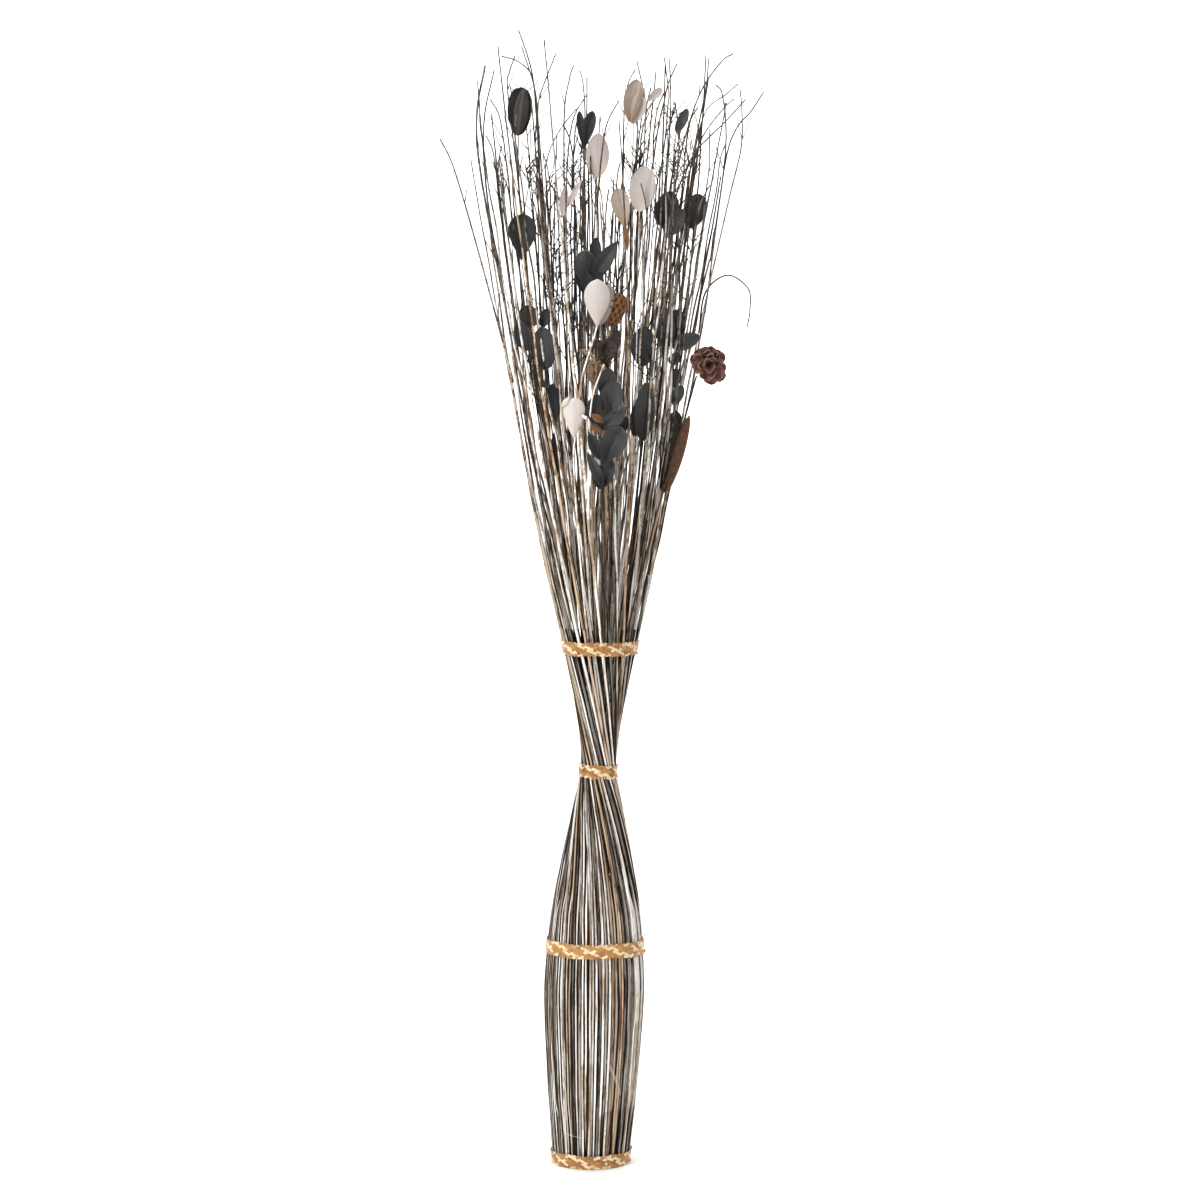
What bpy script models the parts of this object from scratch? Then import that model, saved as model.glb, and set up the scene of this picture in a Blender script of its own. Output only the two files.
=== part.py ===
"""A standing bunch of dried reeds, bound with four plaited straw bands.

The reeds stand on their cut ends, swell out at the belly, twist through a narrow waist and fan out
above the collar, where dried leaves and pods on stalks are pushed in among them.  Metres, +Z up.
The foot stands on z = 0 and the bunch leans a little, so that its middle stands over the origin.
"""
import math

import bpy
import bmesh
from mathutils import Vector

# ---- driving dimensions ---------------------------------------------------------------------------
REED_COUNT = 30            # reeds of the outer ring
REED_RADIUS = 0.00155
GAP = 0.00035              # clearance between pieces that touch
BAND_THICKNESS = 0.0016
BAND_STEPS = 32

FOOT_BAND = (0.0, 0.0135)          # bottom and top of each band
BELLY_BAND = (0.227, 0.2405)
WAIST_BAND = (0.4138, 0.4262)
COLLAR_BAND = (0.545, 0.558)

WAIST_Z = 0.42
WAIST_RADIUS = 0.0173      # to the reeds' centre lines
FAN_SLOPE = 0.255          # sideways run of a straight reed for each metre of height above the waist
LEAN = 0.0098              # how far the foot stands to the left of the waist
LEAN_TOP = 0.50            # the bunch is upright above this height

# Ring radius at chosen heights from the cut ends to the waist.
PROFILE = [(0.0, 0.0392), (0.10, 0.0477), (0.185, 0.0523), (0.2338, 0.0497),
           (0.265, 0.0468), (0.30, 0.0414), (0.36, 0.0296), (WAIST_Z, WAIST_RADIUS)]
TWIST_BELOW = math.radians(50)     # turn between the waist and the belly
TWIST_LENGTH = 0.059               # height over which most of that turn happens

BEND_START = 0.56          # above this height each reed bends towards its own tip
CUT_LENGTH = 0.004         # the cut ends stand straight up for this length
LOW_STATIONS = [0.0, CUT_LENGTH, 0.10, 0.165, 0.2338, 0.29, 0.335, 0.375, 0.404, WAIST_Z]
HIGH_STATIONS = 3          # points between the collar and the tip
TIP_TAPER = 0.30           # tip radius as a share of REED_RADIUS

# Each ring reed's tip: reach from the axis, height, swing in degrees. The first fans to the front.
REED_TIPS = [
    (0.030, 1.020, 0), (0.080, 1.100, 2), (0.150, 1.150, 2), (0.130, 1.060, 0), (0.150, 1.165, -2),
    (0.158, 1.168, 0), (0.160, 1.125, 2), (0.172, 1.134, 0), (0.150, 1.140, 3), (0.135, 1.050, 0),
    (0.150, 1.130, -4), (0.158, 1.160, 0), (0.140, 1.100, 3), (0.150, 1.170, 0), (0.130, 1.080, 0),
    (0.135, 1.120, 0), (0.140, 1.178, 0), (0.130, 1.100, -3), (0.145, 1.196, 0), (0.150, 1.120, 3),
    (0.160, 1.070, 0), (0.135, 1.150, 2), (0.170, 1.088, 0), (0.126, 1.162, 0), (0.118, 1.157, -3),
    (0.120, 1.060, 0), (0.140, 1.174, 0), (0.125, 1.120, 2), (0.150, 1.176, 2), (0.030, 1.080, -8),
]

# The reeds inside the ring, as one sheaf: heights and radii from the cut ends to the tips.
SHEAF_INSET = 0.0026       # from the ring's centre lines to the sheaf's side, below the waist
SHEAF_TOP = [(0.50, 0.0175), (0.60, 0.0160), (0.80, 0.0115), (1.00, 0.0070), (1.165, 0.0025)]

FRONT = (0, -1, 0)
STALK_RADIUS = 0.0009
STALK_ROOT_Z = 0.53        # stalks are pushed in among the reeds down to this height
STALK_ROOT_RADIUS = 0.0285
STALK_SHARES = (0.0, 0.55, 1.0)    # where a stalk's rings stand along it
LEAF_THICKNESS = 0.0014

COLOURS = {
    "straw": (0.72, 0.50, 0.24), "white_reed": (0.74, 0.71, 0.67), "grey_reed": (0.36, 0.33, 0.30),
    "tan_reed": (0.50, 0.36, 0.25), "dark_reed": (0.09, 0.09, 0.09), "inner_reed": (0.17, 0.15, 0.13),
    "cream_leaf": (0.80, 0.74, 0.69), "charcoal_leaf": (0.05, 0.055, 0.06), "brown_pod": (0.20, 0.09, 0.045),
}
REED_SLOTS = ["white_reed", "grey_reed", "tan_reed", "dark_reed", "grey_reed"]


# ---- scene ----------------------------------------------------------------------------------------
def clear_scene():
    for obj in list(bpy.data.objects):
        bpy.data.objects.remove(obj, do_unlink=True)


def new_collection(name):
    collection = bpy.data.collections.new(name)
    bpy.context.scene.collection.children.link(collection)
    return collection


def new_material(name):
    material = bpy.data.materials.new(name)
    material.use_nodes = True
    shader = material.node_tree.nodes["Principled BSDF"]
    shader.inputs["Base Color"].default_value = (*COLOURS[name], 1.0)
    shader.inputs["Roughness"].default_value = 0.75
    shader.inputs["Metallic"].default_value = 0.0
    return material


def add_object(name, data, slot):
    obj = bpy.data.objects.new(name, data)
    obj.data.materials.append(MATERIALS[slot])
    PART.objects.link(obj)
    return obj


# ---- the bunch's form -----------------------------------------------------------------------------
def lean(z):
    """Sideways place of the axis at height z."""
    return -LEAN * max(0.0, 1.0 - z / LEAN_TOP)


def ring_radius(z):
    """Radius of the ring of reeds: a smooth outline below the waist, straight reeds above it."""
    if z >= WAIST_Z:
        return math.hypot(WAIST_RADIUS, FAN_SLOPE * (z - WAIST_Z))
    k = max(i for i, knot in enumerate(PROFILE) if knot[0] <= z)
    (z0, r0), (z1, r1) = PROFILE[k], PROFILE[k + 1]
    before = PROFILE[max(k - 1, 0)]
    after = PROFILE[min(k + 2, len(PROFILE) - 1)]
    slope0 = (r1 - before[1]) / (z1 - before[0])
    slope1 = (after[1] - r0) / (after[0] - z0)
    t, span = (z - z0) / (z1 - z0), z1 - z0
    return (r0 * (2 * t ** 3 - 3 * t ** 2 + 1) + r1 * (3 * t ** 2 - 2 * t ** 3)
            + span * slope0 * (t ** 3 - 2 * t ** 2 + t) + span * slope1 * (t ** 3 - t ** 2))


def ring_turn(z):
    """Turn about the axis at height z, measured from the waist; it falls with height."""
    if z >= WAIST_Z:
        return -math.atan(FAN_SLOPE * (z - WAIST_Z) / WAIST_RADIUS)
    return TWIST_BELOW * (1.0 - math.exp((z - WAIST_Z) / TWIST_LENGTH))


def around(angle, radius, z):
    """A point at an angle from the front (-Y) towards +X, on the leaning axis."""
    return Vector((lean(z) + radius * math.sin(angle), -radius * math.cos(angle), z))


def reed_points(index):
    """The centre line of one ring reed, from its cut end to its tip."""
    reach, top, swing = REED_TIPS[index]
    fan_angle = 2 * math.pi * index / REED_COUNT
    waist_angle = fan_angle + math.pi / 2

    def straight(z):
        return around(waist_angle + ring_turn(z), ring_radius(z), z)

    points = [straight(z) for z in LOW_STATIONS]
    points[0].x = points[1].x
    points[0].y = points[1].y
    tip = around(fan_angle + math.radians(swing), reach, top)
    bend = tip - straight(top)
    points.append(straight(BEND_START))
    for step in range(1, HIGH_STATIONS + 1):
        share = step / HIGH_STATIONS
        z = BEND_START + share * (top - BEND_START)
        points.append(straight(z) + bend * share ** 2)
    return points


def tube(name, points, radii, resolution, slot):
    """A capped tube along points, with its own radius at each."""
    curve = bpy.data.curves.new(name, "CURVE")
    curve.dimensions = "3D"
    curve.bevel_depth = 1.0
    curve.bevel_resolution = resolution
    curve.use_fill_caps = True
    spline = curve.splines.new("POLY")
    spline.points.add(len(points) - 1)
    for item, point, radius in zip(spline.points, points, radii):
        item.co = (*point, 1.0)
        item.radius = radius
    spline.use_smooth = True
    return add_object(name, curve, slot)


# ---- reeds ----------------------------------------------------------------------------------------
def build_reeds():
    """The ring of single reeds; each keeps its thickness to the collar, then tapers to the tip."""
    for index in range(REED_COUNT):
        points = reed_points(index)
        radii = [REED_RADIUS] * (len(points) - HIGH_STATIONS)
        for step in range(1, HIGH_STATIONS + 1):
            radii.append(REED_RADIUS * (1.0 - (1.0 - TIP_TAPER) * step / HIGH_STATIONS))
        tube(f"reed_{index + 1:02d}", points, radii, 1, REED_SLOTS[index % len(REED_SLOTS)])


def build_sheaf():
    """The reeds inside the ring, in one solid from the cut ends to the highest inner tips."""
    points = [Vector((lean(CUT_LENGTH), 0.0, 0.0))]
    radii = [ring_radius(CUT_LENGTH) - SHEAF_INSET]
    for z in LOW_STATIONS[1:]:
        points.append(Vector((lean(z), 0.0, z)))
        radii.append(ring_radius(z) - SHEAF_INSET)
    for z, radius in SHEAF_TOP:
        points.append(Vector((lean(z), 0.0, z)))
        radii.append(radius)
    tube("inner_reeds", points, radii, 6, "inner_reed")


# ---- bands ----------------------------------------------------------------------------------------
def build_band(name, bottom, top):
    """A flat plaited strap round the reeds, following their slope, as a turned ring."""
    flat_side = math.cos(math.pi / BAND_STEPS)
    inner = [(ring_radius(max(z, CUT_LENGTH)) + REED_RADIUS + GAP) / flat_side for z in (bottom, top)]
    if bottom < WAIST_Z < top:
        inner = [max(inner)] * 2
    thick = BAND_THICKNESS
    outline = [(inner[1] + thick, top), (inner[0] + thick, bottom), (inner[0], bottom), (inner[1], top)]
    mesh = bpy.data.meshes.new(name)
    mesh.from_pydata([(r, 0.0, z) for r, z in outline], [(0, 1), (1, 2), (2, 3), (3, 0)], [])
    band = add_object(name, mesh, "straw")
    band.location.x = lean(0.5 * (bottom + top))
    screw = band.modifiers.new("turn", "SCREW")
    screw.angle = 2 * math.pi
    screw.steps = BAND_STEPS
    screw.render_steps = BAND_STEPS
    screw.use_merge_vertices = True
    screw.merge_threshold = 0.0001
    screw.use_smooth_shade = False


def build_bands():
    build_band("foot_band", *FOOT_BAND)
    build_band("belly_band", *BELLY_BAND)
    build_band("waist_band", *WAIST_BAND)
    build_band("collar_band", *COLLAR_BAND)


# ---- leaves and pods ------------------------------------------------------------------------------
def loft(name, rings, slot):
    """A closed solid through rings of equal length, with its two ends capped."""
    mesh = bpy.data.meshes.new(name)
    bm = bmesh.new()
    loops = [[bm.verts.new(point) for point in ring] for ring in rings]
    for low, high in zip(loops, loops[1:]):
        for i, corner in enumerate(low):
            j = (i + 1) % len(low)
            bm.faces.new((corner, low[j], high[j], high[i]))
    bm.faces.new(loops[0][::-1])
    bm.faces.new(loops[-1])
    bmesh.ops.recalc_face_normals(bm, faces=bm.faces)
    bm.to_mesh(mesh)
    bm.free()
    mesh.shade_smooth()
    return add_object(name, mesh, slot)


def frame_along(start, end, face):
    """Sideways and facing directions of something that points from start to end."""
    axis = (end - start).normalized()
    side = face.cross(axis).normalized()
    return side, axis.cross(side).normalized()


def stalk_root(angle):
    return around(math.radians(angle), STALK_ROOT_RADIUS, STALK_ROOT_Z)


def round_ring(centre, side, facing, radius, count):
    """Points round a stalk or a pod."""
    turns = [2 * math.pi * k / count for k in range(count)]
    return [centre + (side * math.cos(a) + facing * math.sin(a)) * radius for a in turns]


def blade_ring(centre, side, facing, half_width, cup):
    """Six points round a blade: two edges, and two each on its face and its back."""
    ring = []
    for share, lift in ((1, 0), (0.45, 1), (-0.45, 1), (-1, 0), (-0.45, -1), (0.45, -1)):
        offset = facing * (cup * share ** 2 + 0.5 * LEAF_THICKNESS * lift)
        ring.append(centre + side * (half_width * share) + offset)
    return ring


def leaf(name, root, base, tip, width, cup=0.003, slot="charcoal_leaf"):
    """A cupped leaf on a stalk from its root among the reeds, in one piece."""
    root, base, tip = Vector(root), Vector(base), Vector(tip)
    side, facing = frame_along(base, tip, Vector(FRONT))
    rings = []
    for share in STALK_SHARES:
        centre = root.lerp(base, share)
        rings.append(round_ring(centre, side, facing, STALK_RADIUS, 6))
    for along, fullness in ((0.16, 0.55), (0.42, 0.95), (0.72, 0.92), (0.92, 0.55), (1.0, 0.16)):
        rings.append(blade_ring(base.lerp(tip, along), side, facing, 0.5 * width * fullness,
                                cup * fullness))
    return loft(name, rings, slot)


def pod(name, root, base, tip, stations, slot="brown_pod"):
    """A round-bodied pod or flower head on a stalk; stations are (share of length, radius)."""
    root, base, tip = Vector(root), Vector(base), Vector(tip)
    side, facing = frame_along(base, tip, Vector(FRONT))
    sections = [(root.lerp(base, share), STALK_RADIUS) for share in STALK_SHARES]
    sections += [(base.lerp(tip, share), radius) for share, radius in stations]
    rings = []
    for centre, radius in sections:
        rings.append(round_ring(centre, side, facing, radius, 8))
    return loft(name, rings, slot)


def unite(name, pieces):
    """Join the leaves of one spray into one solid."""
    body = pieces[0]
    for number, piece in enumerate(pieces[1:]):
        boolean = body.modifiers.new(f"join_{number}", "BOOLEAN")
        boolean.operation = "UNION"
        boolean.solver = "EXACT"
        boolean.object = piece
        PART.objects.unlink(piece)
        CUTTERS.objects.link(piece)
        piece.hide_render = True
        piece.display_type = "WIRE"
    body.name = name


def build_single_leaves():
    charcoal = [
        ("charcoal_leaf_top_left", -64, (-0.085, -0.040, 1.089), (-0.082, -0.040, 1.137), 0.025),
        ("charcoal_leaf_left", -56, (-0.082, -0.050, 0.960), (-0.080, -0.050, 1.006), 0.029),
        ("charcoal_leaf_small", 89, (0.079, 0.000, 1.095), (0.092, 0.000, 1.118), 0.010),
        ("charcoal_leaf_cup", 81, (0.071, -0.020, 0.984), (0.075, -0.020, 1.031), 0.028),
        ("charcoal_leaf_jagged", 97, (0.095, 0.020, 0.996), (0.108, 0.020, 1.028), 0.022),
    ]
    cream = [
        ("cream_leaf_top", 50, (0.035, -0.020, 1.101), (0.038, -0.020, 1.147), 0.023),
        ("cream_leaf_side", 68, (0.048, -0.022, 1.123), (0.065, -0.022, 1.137), 0.010),
        ("cream_leaf_pale", -15, (-0.003, -0.034, 1.045), (-0.002, -0.034, 1.090), 0.024),
        ("cream_leaf_large", 38.5, (0.043, -0.050, 1.009), (0.046, -0.050, 1.055), 0.028),
        ("tan_leaf_teardrop", 33.5, (0.026, -0.036, 0.992), (0.019, -0.036, 1.030), 0.019),
        ("white_leaf_teardrop", -4.6, (-0.003, -0.108, 0.889), (-0.003, -0.108, 0.936), 0.026),
        ("white_leaf_folded", -22, (-0.026, -0.100, 0.778), (-0.028, -0.100, 0.818), 0.021),
    ]
    for slot, table in (("charcoal_leaf", charcoal), ("cream_leaf", cream)):
        for name, angle, base, tip, width in table:
            leaf(name, stalk_root(angle), base, tip, width, slot=slot)


def build_pods():
    pod("brown_pod_pair", stalk_root(9.6), (0.004, -0.086, 0.850), (0.018, -0.093, 0.920),
        [(0.08, 0.006), (0.24, 0.011), (0.38, 0.0105), (0.48, 0.002), (0.56, 0.002),
         (0.66, 0.007), (0.82, 0.010), (1.0, 0.004)])
    pod("ribbed_pod", stalk_root(-9.6), (-0.007, -0.080, 0.829), (-0.006, -0.080, 0.852),
        [(0.2, 0.004), (0.5, 0.0065), (0.85, 0.005), (1.0, 0.002)])
    pod("pleated_flower", stalk_root(43.8), (0.100, -0.098, 0.834), (0.124, -0.100, 0.856),
        [(0.1, 0.003), (0.4, 0.014), (0.75, 0.017), (1.0, 0.014)])
    leaf("long_pod", stalk_root(56), (0.067, -0.060, 0.719), (0.088, -0.060, 0.799), 0.016,
         cup=0.004, slot="brown_pod")
    leaf("brown_strip_left", stalk_root(-80), (-0.055, -0.020, 0.738), (-0.063, -0.022, 0.792), 0.010,
         cup=0.002, slot="brown_pod")


def build_sprays():
    """Charcoal leaves that grow in groups, each group on one stalk."""
    heart = (-0.017, -0.060, 1.073)
    unite("charcoal_heart", [
        leaf("heart_left", stalk_root(-45), heart, (-0.021, -0.060, 1.111), 0.012),
        leaf("heart_right", (-0.017, -0.0604, 1.066), (-0.0165, -0.0604, 1.074),
             (-0.006, -0.060, 1.111), 0.012)])
    unite("charcoal_cluster_upper", [
        leaf("upper_dome", stalk_root(-38), (-0.013, -0.034, 0.935), (-0.009, -0.034, 0.980), 0.022),
        leaf("upper_blade", (-0.0142, -0.0336, 0.915), (-0.010, -0.034, 0.933),
             (0.019, -0.034, 0.977), 0.014)])
    unite("charcoal_cluster_left", [
        leaf("left_low", stalk_root(-72), (-0.058, -0.020, 0.802), (-0.052, -0.020, 0.865), 0.024),
        leaf("left_high", (-0.056, -0.0198, 0.795), (-0.063, -0.021, 0.834),
             (-0.084, -0.021, 0.895), 0.024)])
    unite("charcoal_cluster_right", [
        leaf("right_high", stalk_root(74), (0.071, -0.030, 0.866), (0.063, -0.030, 0.912), 0.020),
        leaf("right_low", (0.0695, -0.0300, 0.857), (0.073, -0.030, 0.869),
             (0.106, -0.024, 0.881), 0.014)])
    unite("charcoal_spray_front", [
        leaf("front_low", stalk_root(14), (0.003, -0.107, 0.725), (0.018, -0.109, 0.783), 0.022),
        leaf("front_left", (0.0028, -0.1035, 0.718), (0.001, -0.1065, 0.735),
             (-0.010, -0.107, 0.780), 0.018)])
    leaf("charcoal_spray_upper_left", stalk_root(5), (0.002, -0.104, 0.785),
         (-0.006, -0.104, 0.816), 0.018)
    leaf("charcoal_spray_upper_right", stalk_root(28.3), (0.010, -0.103, 0.790),
         (0.022, -0.103, 0.836), 0.022)
    leaf("charcoal_leaf_low_right", stalk_root(62), (0.079, -0.040, 0.811),
         (0.084, -0.040, 0.843), 0.012)


clear_scene()
PART = new_collection("bunch_of_reeds")
CUTTERS = new_collection("joined_pieces")
MATERIALS = {name: new_material(name) for name in COLOURS}
build_reeds()
build_sheaf()
build_bands()
build_single_leaves()
build_pods()
build_sprays()
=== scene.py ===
"""The looks of a tall bunch of dried reeds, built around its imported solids.

The bunch stands on its cut ends.  Every reed follows one form: a slender foot, a swollen belly, a twist
through the narrow waist and a straight fan above it.  Four bands of plaited straw hold the reeds, and dried
leaves, pods and wiry sprigs on stalks are pushed in among them.  Metres, +Z up, front towards -Y.
"""
from __future__ import annotations

import logging
import math
from dataclasses import dataclass, field
from enum import Enum
from typing import Callable, Sequence

import bpy
import numpy as np
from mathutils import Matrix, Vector, noise

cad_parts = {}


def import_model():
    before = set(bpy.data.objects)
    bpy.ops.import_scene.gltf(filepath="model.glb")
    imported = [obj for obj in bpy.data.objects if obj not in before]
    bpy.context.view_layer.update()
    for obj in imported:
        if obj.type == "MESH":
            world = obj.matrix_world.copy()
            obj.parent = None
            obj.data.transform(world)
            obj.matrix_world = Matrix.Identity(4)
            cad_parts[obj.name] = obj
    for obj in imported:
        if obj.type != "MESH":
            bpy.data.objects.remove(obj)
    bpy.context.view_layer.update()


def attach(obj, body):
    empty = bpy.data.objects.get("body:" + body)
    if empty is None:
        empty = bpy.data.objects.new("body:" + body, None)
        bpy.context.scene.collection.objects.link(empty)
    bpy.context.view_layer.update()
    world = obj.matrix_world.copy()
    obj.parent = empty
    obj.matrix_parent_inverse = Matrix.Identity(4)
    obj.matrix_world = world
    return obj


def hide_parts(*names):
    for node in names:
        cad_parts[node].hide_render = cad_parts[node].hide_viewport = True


LOG = logging.getLogger("bunch_of_reeds")
FRONT = Vector((0.0, -1.0, 0.0))
UP = Vector((0.0, 0.0, 1.0))
Colour = tuple[float, float, float]
Point = tuple[float, float, float]
FULL_TURN = 6.2832
ROUGH_TURN = 6.28  # for directions drawn at random
Finishes = dict[str, bpy.types.Material]


class Slot(Enum):
    """Material slots of the record that the pieces take their finish from."""

    STRAW = "straw"
    WHITE = "white_reed"
    GREY = "grey_reed"
    TAN = "tan_reed"
    DARK = "dark_reed"
    CREAM = "cream_leaf"
    CHARCOAL = "charcoal_leaf"
    POD = "brown_pod"


class Outline(Enum):
    """Leaf outlines, as (where the widest place lies, roundness of the ends)."""

    OVAL = (1.0, 0.52)
    TEARDROP = (1.65, 0.55)
    TULIP = (1.25, 0.36)
    SHIELD = (1.55, 0.34)
    SPADE = (2.10, 0.42)
    POINTED = (0.80, 0.72)
    BLADE = (1.0, 0.95)


# ---- the form that every reed follows -------------------------------------------------------------
@dataclass(frozen=True)
class BunchForm:
    """Lean, swell, twist and fan of the bunch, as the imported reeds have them."""

    count: int = 30
    reed_radius: float = 0.00155
    gap: float = 0.00035
    waist_z: float = 0.42
    waist_radius: float = 0.0173
    fan_slope: float = 0.255
    lean_foot: float = 0.0098
    lean_top: float = 0.50
    twist_below: float = math.radians(50)
    twist_length: float = 0.059
    bend_start: float = 0.56
    profile: tuple[tuple[float, float], ...] = (
        (0.0, 0.0392), (0.10, 0.0477), (0.185, 0.0523), (0.2338, 0.0497),
        (0.265, 0.0468), (0.30, 0.0414), (0.36, 0.0296), (0.42, 0.0173))

    def lean(self, z: float) -> float:
        """Sideways place of the axis at height z."""
        return -self.lean_foot * max(0.0, 1.0 - z / self.lean_top)

    def below(self, z: float) -> float:
        """Radius of the outer ring below the waist.

        Args:
            z: Height above the floor.

        Returns:
            Distance from the axis to the outer reeds' centre lines.
        """
        knots = self.profile
        k = max(i for i, knot in enumerate(knots[:-1]) if knot[0] <= z)
        (z0, r0), (z1, r1) = knots[k], knots[k + 1]
        before, after = knots[max(k - 1, 0)], knots[min(k + 2, len(knots) - 1)]
        slope0 = (r1 - before[1]) / (z1 - before[0])
        slope1 = (after[1] - r0) / (after[0] - z0)
        t, span = (z - z0) / (z1 - z0), z1 - z0
        return (r0 * (2 * t ** 3 - 3 * t ** 2 + 1) + r1 * (3 * t ** 2 - 2 * t ** 3)
                + span * slope0 * (t ** 3 - 2 * t ** 2 + t) + span * slope1 * (t ** 3 - t ** 2))

    def ring_radius(self, z: float) -> float:
        """Radius of the outer ring at height z."""
        if z >= self.waist_z:
            return math.hypot(self.waist_radius, self.fan_slope * (z - self.waist_z))
        return self.below(z)

    def around(self, angle: float, radius: float, z: float) -> Vector:
        """A point at an angle from the front towards +X, on the leaning axis."""
        return Vector((self.lean(z) + radius * math.sin(angle), -radius * math.cos(angle), z))

    def layer_step(self, z: float) -> float:
        """How far the next reed of a slot lies inside its neighbour, where the ring is too tight for both."""
        side = 2 * math.pi * self.ring_radius(z) / self.count / 3
        return math.sqrt(max(0.0, (2.03 * self.reed_radius) ** 2 - side ** 2))

    def reed_point(self, waist_angle: float, layers: float, slope: float, z: float) -> Vector:
        """Centre of a reed at height z.

        Args:
            waist_angle: The reed's angle from the front, at the waist.
            layers: How many layers inside the outer ring it lies at the waist.
            slope: Its sideways run for each metre of height above the waist.
            z: Height above the floor.

        Returns:
            The point in the row frame.
        """
        if z < self.waist_z:
            inset = 0.0045 * max(0.0, layers - 3) * (1.0 - self.layer_step(z) / self.layer_step(self.waist_z))
            radius = self.below(z) - layers * self.layer_step(z) - inset
            turn = self.twist_below * (1.0 - math.exp((z - self.waist_z) / self.twist_length))
            return self.around(waist_angle + turn, radius, z)
        inner = self.waist_radius - layers * self.layer_step(self.waist_z)
        run = slope * (z - self.waist_z)
        return self.around(waist_angle - math.atan2(run, inner), math.hypot(inner, run), z)


FORM = BunchForm()


# ---- mesh makers ----------------------------------------------------------------------------------
def smooth_path(points: Sequence[Vector], steps: int) -> list[Vector]:
    """A smooth curve through a few points.

    Args:
        points: Two or more points.
        steps: Samples between each pair of points.

    Returns:
        The points of a Catmull-Rom curve, the first and last included.
    """
    if len(points) < 3:
        return [points[0].lerp(points[-1], k / steps) for k in range(steps + 1)]
    ghost = [2 * points[0] - points[1], *points, 2 * points[-1] - points[-2]]
    made = [points[0].copy()]
    for a, b, c, d in zip(ghost, ghost[1:], ghost[2:], ghost[3:]):
        for k in range(1, steps + 1):
            t = k / steps
            made.append(0.5 * (2 * b + (c - a) * t + (2 * a - 5 * b + 4 * c - d) * t ** 2
                               + (3 * b - a - 3 * c + d) * t ** 3))
    return made


def wave(z: float, phase: float, lengths: Sequence[float]) -> float:
    """A slow irregular swing between about -1 and 1, made of sines of the given wavelengths."""
    return sum(math.sin(2 * math.pi * z / length + phase * (3 + k)) for k, length in enumerate(lengths)) \
        / len(lengths)


def ring_faces(rings: int, sides: int, flipped: bool = False) -> list[list[int]]:
    """Faces of a tube with capped ends.

    Args:
        rings: How many rings of points it has.
        sides: Points in each ring.
        flipped: Whether its rings run the other way round.

    Returns:
        The faces, counted from the first point of the first ring.
    """
    faces = []
    for ring in range(rings - 1):
        for k in range(sides):
            a, b = ring * sides + k, ring * sides + (k + 1) % sides
            faces.append([a, a + sides, b + sides, b] if flipped else [a, b, b + sides, a + sides])
    first, last = list(range(sides)), [(rings - 1) * sides + k for k in range(sides)]
    return faces + ([first, last[::-1]] if flipped else [first[::-1], last])


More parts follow.
